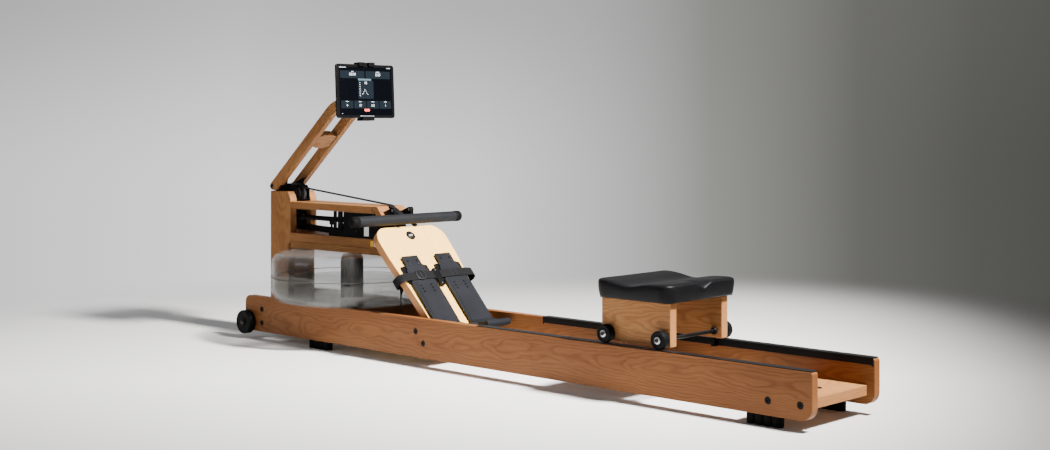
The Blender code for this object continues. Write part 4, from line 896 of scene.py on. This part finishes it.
foot_y, half_base, neck = 0.065, 0.0510, 0.0345
side_shape = [(0.150, foot_y - half_base), (0.150, foot_y + half_base), (0.212, foot_y + half_base),
              (0.212, foot_y + neck),
              (0.350, foot_y + neck), (0.350, foot_y - neck), (0.212, foot_y - neck),
              (0.212, foot_y - half_base)]
bases = [board_slab(rounded([(s, side * y) for s, y in side_shape], 0.006), GAP, 0.0050) for side in (-1, 1)]
shown("foot_bases_moulded", merged(bases), BLACK_PLASTIC, "frame", 30, ("foot_base",), 0.0008)
keeper = board_slab(rounded(rectangle(0.168, -0.0093, 0.231, 0.0093), 0.006), 0.0042, 0.0104)
shown("strap_keeper", keeper, BLACK_PLASTIC, "frame", 30, bevel=0.0014, segments=3)
screws = []
for s in (0.1760, 0.2230):
    head = [(0, 0.0100), (0.0006, 0.0100), (0.0009, 0.0106), (0.0020, 0.0107), (0.0024, 0.0103),
            (0.0024, 0.0096), (0, 0.0096)]
    screws.append(board_disc(s, 0, head, 20))
shown("keeper_screws", merged(screws), STEEL, "frame", 40)
badge_rim = [(0, GAP), (0.0150, GAP), (0.0155, 0.0008), (0.0152, 0.0018), (0.0125, 0.0022), (0.0115, 0.0014),
             (0, 0.0014)]
shown("footboard_badge_rim", board_disc(0.0367, -0.0047, badge_rim, 48), BLACK_GLOSS, "frame", 40)
badge_face = [(0, 0.0014), (0.0112, 0.0014), (0.0106, 0.0019), (0, 0.0024)]
shown("footboard_badge_face", board_disc(0.0367, -0.0047, badge_face, 48), SLATE, "frame", 40)
badge_bar = rounded(rectangle(0.0342, -0.0113, 0.0392, 0.0019), 0.0015)
shown("footboard_badge_bar", board_slab(badge_bar, 0.0020, 0.0026), PALE_PLASTIC, "frame", 40, bevel=0.0002)

tab, plate = 0.0305, 0.0465
for name, side in (("foot_slider_near", -1), ("foot_slider_far", 1)):
    centre = side * foot_y
    outline = [(0.117, -tab), (0.150, -tab), (0.1515, -tab - 0.0055), (0.166, -tab - 0.0055),
               (0.1675, -tab - 0.0100)]
    outline += [(0.206, -tab - 0.0100), (0.210, -plate), (0.300, -plate), (0.378, -plate * 0.98)]
    outline = outline + [(s, -y) for s, y in outline[::-1]]
    outline = rounded([(s, centre + y) for s, y in outline], 0.003)
    skin = board_slab(outline, 0.0053, 0.0098)
    shown(name + "_plate", skin, SLATE, name, 30, (name,), 0.0009, 2)
    holes = [(s, y) for s in (0.1355, 0.1485) for y in (-0.0175, 0.0175)]
    holes += [(s, y) for s in (0.225, 0.236, 0.247) for y in (-0.0195, 0.0195)]
    # The holes are black discs on the plate face: painted shade in place of open holes.
    hole = [(0, 0.0094), (0.0036, 0.0094), (0.0037, 0.01012), (0, 0.01005)]
    hole_shade_discs = [board_disc(s, centre + y, hole, 20) for s, y in holes]
    shown(name + "_hole_shades", merged(hole_shade_discs), BLACK_GLOSS, name, 40)
    pin = [(0, 0.0098), (0.0020, 0.0098), (0.0019, 0.0108), (0, 0.0111)]
    pins = [board_disc(0.1485, centre + y, pin, 16) for y in (-0.0175, 0.0175)]
    shown(name + "_pins", merged(pins), GREY_PLASTIC, name, 40)
    dots = []
    for row in range(8):
        for column in range(11):
            spot = (0.1735 + 0.0042 * row, centre + (column - 5) * 0.0066)
            dots.append(board_disc(*spot, [(0, 0.0096), (0.0012, 0.0096), (0.0009, 0.0103), (0, 0.0104)], 6))
    shown(name + "_grip_dots", merged(dots), SLATE, name, 40)
    near_edge = centre - plate
    rail = [(0.212, near_edge + 0.0095), (0.372, near_edge + 0.0012), (0.372, near_edge + 0.0052),
            (0.212, near_edge + 0.0135)]
    shown(name + "_side_rail", board_slab(rail, 0.0092, 0.0101), SLATE, name, 30, bevel=0.0003)
    # The groove is a black strip on the plate face: painted shade in place of a cut groove.
    groove_shade = [(0.212, near_edge + 0.0140), (0.376, near_edge + 0.0056), (0.376, near_edge + 0.0078),
            (0.212, near_edge + 0.0172)]
    shown(name + "_groove_shade", board_slab(groove_shade, 0.0096, 0.01005), BLACK_PAINT, name, 0)
    heel = on_board(0.372, 0, 0.0093)
    profile = [(heel.x - 0.010, heel.z + 0.0065), (heel.x + 0.004, heel.z - 0.010)]
    profile += [(heel.x + 0.050, heel.z - 0.0120)] + arc((heel.x + 0.059, heel.z + 0.002), 0.010, -85, 95, 10)
    profile += [(heel.x + 0.052, heel.z + 0.0075), (heel.x + 0.020, heel.z + 0.0045),
                (heel.x + 0.004, heel.z + 0.0060)]
    shown(name + "_heel", extruded(profile, centre - plate, centre + plate), SLATE, name, 40, bevel=0.0016,
          segments=3)


def across_board(route, distance):
    """Stations of a strap that crosses the board at one distance down it."""
    stations = []
    for n, (y, h) in enumerate(route):
        before, after = route[max(n - 1, 0)], route[min(n + 1, len(route) - 1)]
        run = Vector((0, after[0] - before[0], after[1] - before[1])).normalized()
        out = Vector((0, 1, 0)) * -run.z + off * run.y
        stations.append((on_board(distance, y, h), down, out))
    return stations


over, strap_line = 0.0112, 0.192
crossing = [(0.0, 0.0072), (0.0108, 0.0076), (0.0172, over), (0.0650, over + 0.0010), (0.1120, over),
            (0.1280, 0.0100)]
near_loop = [(0.1400, 0.0040), (0.1450, -0.0080), (0.1440, -0.0220), (0.1360, -0.0290), (0.1100, -0.0262)]
far_loop = [(0.1460, 0.0050), (0.1550, -0.0080), (0.1535, -0.0220), (0.1430, -0.0290), (0.1100, -0.0262)]
for name, side, loop in (("foot_strap_near", -1, near_loop), ("foot_strap_far", 1, far_loop)):
    points = [(p.x * side, p.y) for p in smooth_path([(y, h, 0) for y, h in crossing + loop], 52)]
    replaced = ("foot_strap",) if side < 0 else ()
    run = ribbon(across_board(points, strap_line), 0.027, 0.0018)
    shown(name, run, STRAP_CLOTH, "frame", 40, replaced)
hang = [(-0.3302, 0.2190, 0), (-0.3345, 0.2020, 22), (-0.3375, 0.1830, 42), (-0.3380, 0.1620, 44),
        (-0.3345, 0.1400, 44), (-0.3290, 0.1205, 44)]
stations = []
for p in smooth_path(hang, 28):
    turn = math.radians(p.z)
    stations.append(((p.x, -0.1095, p.y), (-math.sin(turn), math.cos(turn), 0),
                     (math.cos(turn), math.sin(turn), 0)))
shown("foot_strap_tail", ribbon(stations, 0.021, 0.0018), STRAP_CLOTH, "frame", 40)
buckle = [(0.0135, over + 0.0008), (0.0178, over + 0.0008), (0.0186, over + 0.0018), (0.0184, over + 0.0034),
          (0.0168, over + 0.0042)]
buckle += [(0.0145, over + 0.0040), (0.0135, over + 0.0030)]
shown("strap_buckle", board_disc(0.1894, -0.0664, buckle, 48), SLATE, "frame", 40)
bar = rounded(rectangle(0.1740, -0.0690, 0.2050, -0.0638), 0.002)
shown("buckle_tongue", board_slab(bar, over + 0.0010, over + 0.0036), SLATE, "frame", 40, bevel=0.0006)
slots = []
for y in (0.0545, 0.0720):
    outline = rounded(rectangle(0.1800, y - 0.0024, 0.2010, y + 0.0024), 0.0020)
    slots.append(board_slab(outline, over + 0.0006, over + 0.0024))
shown("strap_slots", merged(slots), SLATE, "frame", 40, bevel=0.0005)


# ---------------------------------------------------------------- small fittings round the drive

label_material = plastic("plain_label", (0.80, 0.80, 0.79), 0.5, 400.0, 0.05, wear=0.03)
deck_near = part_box("lower_deck")[0].y
label = slab((-0.5704, -0.0527, 0.3430), (-0.5486, -0.05225, 0.3720))
shown("drive_label", label, label_material, "frame", 0, bevel=0.0001)
deck_labels = (("deck_label_left", -0.5400, (0.80, 0.44, 0.04)),
               ("deck_label_right", -0.5235, (0.62, 0.62, 0.62)))
for name, x, colour in deck_labels:
    plate_mesh = slab((x, deck_near - 0.0004, 0.3135), (x + 0.0140, deck_near - 0.0001, 0.3300))
    shown(name, plate_mesh, plastic(name + "_film", colour, 0.4, 400.0, 0.05, wear=0.05), "frame", 0,
          bevel=0.0001)
studs = []
for side in (-1, 1):
    studs.append(tube([(-1.0120, side * 0.0235, 0.4656), (-1.0120, side * 0.0235, 0.4880)], 0.0042, 20))
shown("tower_studs", merged(studs), STEEL, "frame", 40)
screws = []
for x, z in ((-0.7105, 0.3780), (-0.6855, 0.3780), (-0.6080, 0.3560), (-0.5900, 0.3960)):
    section = [(0, 0.0520), (0.0026, 0.0520), (0.0030, 0.0528), (0.0020, 0.0535), (0, 0.0536)]
    screw = lathe(section, (x, 0, z), "Y", 20)
    screws += [mirrored(screw), screw]
shown("drive_screws", merged(screws), DARK_STEEL, "frame", 40)
webs = []
web_spots = ((-0.7380, -0.7060, 0.3380, 0.3620), (-0.7380, -0.7060, 0.3700, 0.3860),
             (-0.7320, -0.7240, 0.3620, 0.3700))
for x0, x1, z0, z1 in web_spots:
    web = slab((x0, -0.0518, z0), (x1, -0.0492, z1))
    webs += [mirrored(web), web]
shown("drum_carrier_webs", merged(webs), BLACK_PLASTIC, "frame", 0, bevel=0.0005)
guard = slab((-0.9570, -0.0240, 0.4375), (-0.9400, 0.0240, 0.4400))
shown("tower_pulley_guard", guard, DARK_STEEL, "frame", 0, bevel=0.0005)
hook_screws = []
for side in (-1, 1):
    face = rectangle(0, side * 0.0395, 0.0040, side * 0.0265)
    hook_screws.append(lathe(face, (-0.4570, 0, 0.4245), "Y", 24))
shown("hook_screws", merged(hook_screws), STEEL, "frame", 40)
cap_section = [(0, 0.0717), (0.0060, 0.0717), (0.0062, 0.0728), (0.0045, 0.0742), (0, 0.0746)]
cap = lathe(cap_section, (0.985, 0.010, 0), "Z", 24)
shown("rear_board_cap", cap, BLACK_PLASTIC, "frame", 40)


# ---------------------------------------------------------------- tablet

holder_turn = (Matrix.Translation((-0.6270, 0.0, 0.7820)) @ Matrix.Rotation(math.radians(1.9), 4, "Z")
               @ Matrix.Rotation(math.radians(-2.5), 4, "Y"))


def tabled(mesh):
    """Puts a mesh drawn square, with the screen facing +X, where the tablet is."""
    bmesh.ops.transform(mesh, matrix=holder_turn, verts=mesh.verts)
    return mesh


def panel(left, right, low, high, radius=0.002, height=0.0002, base=0.00375):
    """A thin plate on the screen: left and right as the user sees them."""
    outline = rounded(rectangle(left, low, right, high), radius, 3)
    return tabled(extruded(outline, base, base + height, lambda u, v, w: (w, u, v)))


width, height = 0.118, 0.0825
frame_outline = rounded(rectangle(-width, -height, width, height), 0.010, 6)
shell_mesh = tabled(extruded(frame_outline, -0.00375, 0.0034, lambda u, v, w: (w, u, v)))
aluminium = plastic("tablet_aluminium", (0.012, 0.012, 0.013), 0.36, 1500.0, 0.15, 0.3)
shown("tablet_shell", shell_mesh, aluminium, "tablet_holder", 30, ("tablet",), 0.0012, 3)
glass_outline = rounded(rectangle(0.001 - width, 0.001 - height, width - 0.001, height - 0.001), 0.009, 6)
glass_mesh = tabled(extruded(glass_outline, 0.0034, 0.00375, lambda u, v, w: (w, u, v)))
glass_black = plastic("tablet_glass_black", (0.004, 0.004, 0.0045), 0.12, 900.0, 0.02)
shown("tablet_glass", glass_mesh, glass_black, "tablet_holder", 30)
screen_dark = glow("screen_night", (0.0005, 0.0008, 0.0016))
screen_panel = glow("screen_panel", (0.0050, 0.0075, 0.0105))
screen_text = glow("screen_white", (0.42, 0.45, 0.48))
screen_red = glow("screen_red", (0.80, 0.10, 0.08))
screen_pale = glow("screen_pale", (0.050, 0.085, 0.098))
shown("screen_ground", panel(-0.108, 0.108, -0.074, 0.074, 0.001, 0.0001), screen_dark, "tablet_holder", 0)
tiles = [panel(a, b, 0.039, 0.062, 0.002, 0.0002) for a, b in ((-0.1040, -0.0055), (0.0000, 0.1005))]
tiles += [panel(-0.0320, 0.0305, -0.0230, 0.0320, 0.002, 0.0002)]
tiles += [panel(-0.1020 + 0.0520 * n, -0.0535 + 0.0520 * n, -0.0530, -0.0295, 0.002, 0.0002)
          for n in range(4)]
shown("screen_tiles", merged(tiles), screen_panel, "tablet_holder", 0)
shown("screen_pill", panel(-0.0090, 0.0125, -0.0618, -0.0542, 0.0035, 0.0003), screen_red, "tablet_holder", 0)
shown("screen_bar", panel(-0.0320, 0.0215, 0.0328, 0.0385, 0.001, 0.0003), screen_pale, "tablet_holder", 0)
curve = []
for n in range(22):
    u = -0.0160 + 0.0235 * n / 21
    curve.append((u, -0.0104 + 0.0150 * math.exp(-((u + 0.0050) / 0.0058) ** 2)))
strokes = [panel(u0, u0 + 0.0014, v0, v0 + 0.0011, 0.0003, 0.0004) for u0, v0 in curve]
strokes += [panel(-0.0270, -0.0225, v, v + 0.0013, 0.0003, 0.0004)
            for v in [0.0255 - 0.0057 * n for n in range(8)]]
strokes += [panel(-0.0265, 0.0305, -0.0768, -0.0755, 0.0003, 0.0004)]
captions = [(-0.0778 + 0.0520 * n, 0.0110, -0.0330) for n in range(4)] + [(-0.0545, 0.0090, 0.0588),
                                                                          (0.0490, 0.0140, 0.0588)]
captions += [(-0.0940, 0.0260, 0.0710), (0.0940, 0.0150, 0.0716), (-0.0980, 0.0030, -0.0692)]
strokes += [panel(middle_u - width / 2, middle_u + width / 2, v, v + 0.0016, 0.0003, 0.0004) for middle_u,
            width, v in captions]
shown("screen_strokes", merged(strokes), screen_text, "tablet_holder", 0)


def digits(text, u, v, size):
    """Generic figures on the display."""
    data = bpy.data.curves.new("figures", "FONT")
    data.body = text
    data.size = size
    data.align_x = "CENTER"
    data.align_y = "CENTER"
    data.extrude = 0.0001
    text_object = placed("figures", data)
    bpy.context.view_layer.update()
    raw = bpy.data.meshes.new_from_object(text_object.evaluated_get(bpy.context.evaluated_depsgraph_get()))
    bpy.data.objects.remove(text_object)
    mesh = bmesh.new()
    mesh.from_mesh(raw)
    bpy.data.meshes.remove(raw)
    stand = Matrix(((0, 0, 1, 0.0041), (1, 0, 0, u), (0, 1, 0, v), (0, 0, 0, 1)))
    bmesh.ops.transform(mesh, matrix=stand, verts=mesh.verts)
    return tabled(mesh)


figures = [digits("00:00", -0.0540, 0.0510, 0.0120), digits("0:00", 0.0500, 0.0510, 0.0120),
           digits("00", -0.0010, 0.0250, 0.0110)]
for n, text in enumerate(("0", "10", "0.0", "1")):
    figures.append(digits(text, -0.0778 + 0.0520 * n, -0.0440, 0.0105))
shown("screen_figures", merged(figures), screen_text, "tablet_holder", 0)
lens = tabled(lathe(rectangle(0, 0.0036, 0.0018, 0.0040), (0, 0, 0), "X", 20))
bmesh.ops.translate(lens, vec=(0, 0, 0.0765), verts=lens.verts)
shown("tablet_camera", lens, BLACK_GLOSS, "tablet_holder", 40)


# ---------------------------------------------------------------- floor, light and camera

floor_mesh = bpy.data.meshes.new("floor")
grid = bmesh.new()
bmesh.ops.create_circle(grid, cap_ends=True, segments=96, radius=14.0)
grid.to_mesh(floor_mesh)
grid.free()
floor = placed("floor", floor_mesh)
floor.location = (0, 0, -0.0002)
paper = Shader("studio_floor", Roughness=0.55, Specular_IOR_Level=0.3)
distance = paper.vector("LENGTH", paper.place())
mottle = paper.noise(paper.place(), 0.8, 3.0)
yaw = math.radians(43.68)
rightward = (math.cos(yaw), math.sin(yaw), 0.0)
forward = (-math.sin(yaw), math.cos(yaw), 0.0)
aside = paper.vector("DOT_PRODUCT", paper.place(), rightward)
paint = paper.ramp(mottle, ((0.3, (0.90, 0.90, 0.905)), (0.7, (0.93, 0.93, 0.935))))
ahead = paper.vector("DOT_PRODUCT", paper.place(), forward)
# The floor is painted darker to the camera's right and near the camera: painted shade for the fall of the
# lamps' light.
slant = paper.math("SUBTRACT", aside, paper.math("MULTIPLY", ahead, 0.22))
painted_shade_right = paper.ramp(paper.span(slant, 0.50, 1.75), ((0.0, (1.0, 1.0, 1.0)), (1.0, (0.08, 0.08, 0.0775))),
                    "EASE")
painted_shade_near = paper.ramp(paper.span(ahead, -1.05, -0.15), ((0.0, (0.64, 0.64, 0.645)), (1.0, (1.0, 1.0, 1.0))))
paper.colour(paper.blend(1.0, paper.blend(1.0, paint, painted_shade_right, "MULTIPLY"), painted_shade_near, "MULTIPLY"))
fade = paper.span(distance, 1.5, 2.9, 1.0, 0.0, interpolation_type="SMOOTHERSTEP")
paper.link(fade, paper.surface.inputs["Alpha"])
floor_mesh.materials.append(paper.material)

world = bpy.data.worlds.new("studio")
bpy.context.scene.world = world
world.use_nodes = True
sky = Nodes(world.node_tree)
direction = sky.node("TexCoord").outputs["Generated"]
sideways = sky.vector("DOT_PRODUCT", direction, rightward)
ahead = sky.vector("DOT_PRODUCT", direction, forward)
across = sky.span(sideways, -0.35, 0.35)
greys = ((0.0, 0.95), (0.22, 1.30), (0.45, 1.08), (0.58, 0.68), (0.68, 0.335), (0.82, 0.148), (0.92, 0.104),
         (1.0, 0.087))
stops = []
for position, value in greys:
    cool = 1.012 if value > 0.4 else 0.93
    stops.append((position, (value, value, value * cool)))
wall_colour = sky.ramp(across, stops)
rise = sky.node("SeparateXYZ", {"Vector": direction}).outputs["Z"]
climb = sky.span(rise, -0.05, 0.10, interpolation_type="SMOOTHSTEP")
loss = sky.span(across, 0.45, 0.9, 0.46, -0.16)
level = sky.math("SUBTRACT", 1.0, sky.math("MULTIPLY", climb, loss))
lit = sky.node("VectorMath", {0: wall_colour, "Scale": level}, operation="SCALE").outputs[0]
facing = sky.span(ahead, 0.55, 0.86, interpolation_type="SMOOTHSTEP")
room = sky.blend(facing, (0.11, 0.11, 0.11), lit)
sky.link(room, sky.tree.nodes["Background"].inputs["Color"])


def lamp(name, place, target, size, power, colour=(1.0, 1.0, 1.0), size_y=None):
    data = bpy.data.lights.new(name, "AREA")
    data.energy = power
    data.color = colour
    data.shape = "RECTANGLE"
    data.size = size
    data.size_y = size_y or size
    made = placed(name, data)
    made.location = place
    made.rotation_euler = (Vector(target) - Vector(place)).to_track_quat("-Z", "Y").to_euler()
    return made


key = lamp("key", (2.00, 0.22, 2.50), (-0.50, -0.12, 0.0), 0.34, 200, (1.0, 0.97, 0.93))
key.data.spread = math.radians(104)
lamp("fill", (-2.6, -3.0, 2.2), (-0.8, 0.0, 0.3), 1.8, 22)
lamp("rear_wall", (3.6, 0.9, 0.9), (-0.3, 0.0, 0.35), 1.6, 14, (1.0, 0.95, 0.88))

camera_data = bpy.data.cameras.new("camera")
camera_data.sensor_width = 36.0
camera_data.lens = 49.92
camera_data.shift_y = -0.098
camera_data.clip_end = 200.0
camera = placed("camera", camera_data)
camera.location = (2.8204, -2.8990, 0.6874)
camera.rotation_euler = (math.pi / 2, 0.0, yaw)
bpy.context.scene.camera = camera
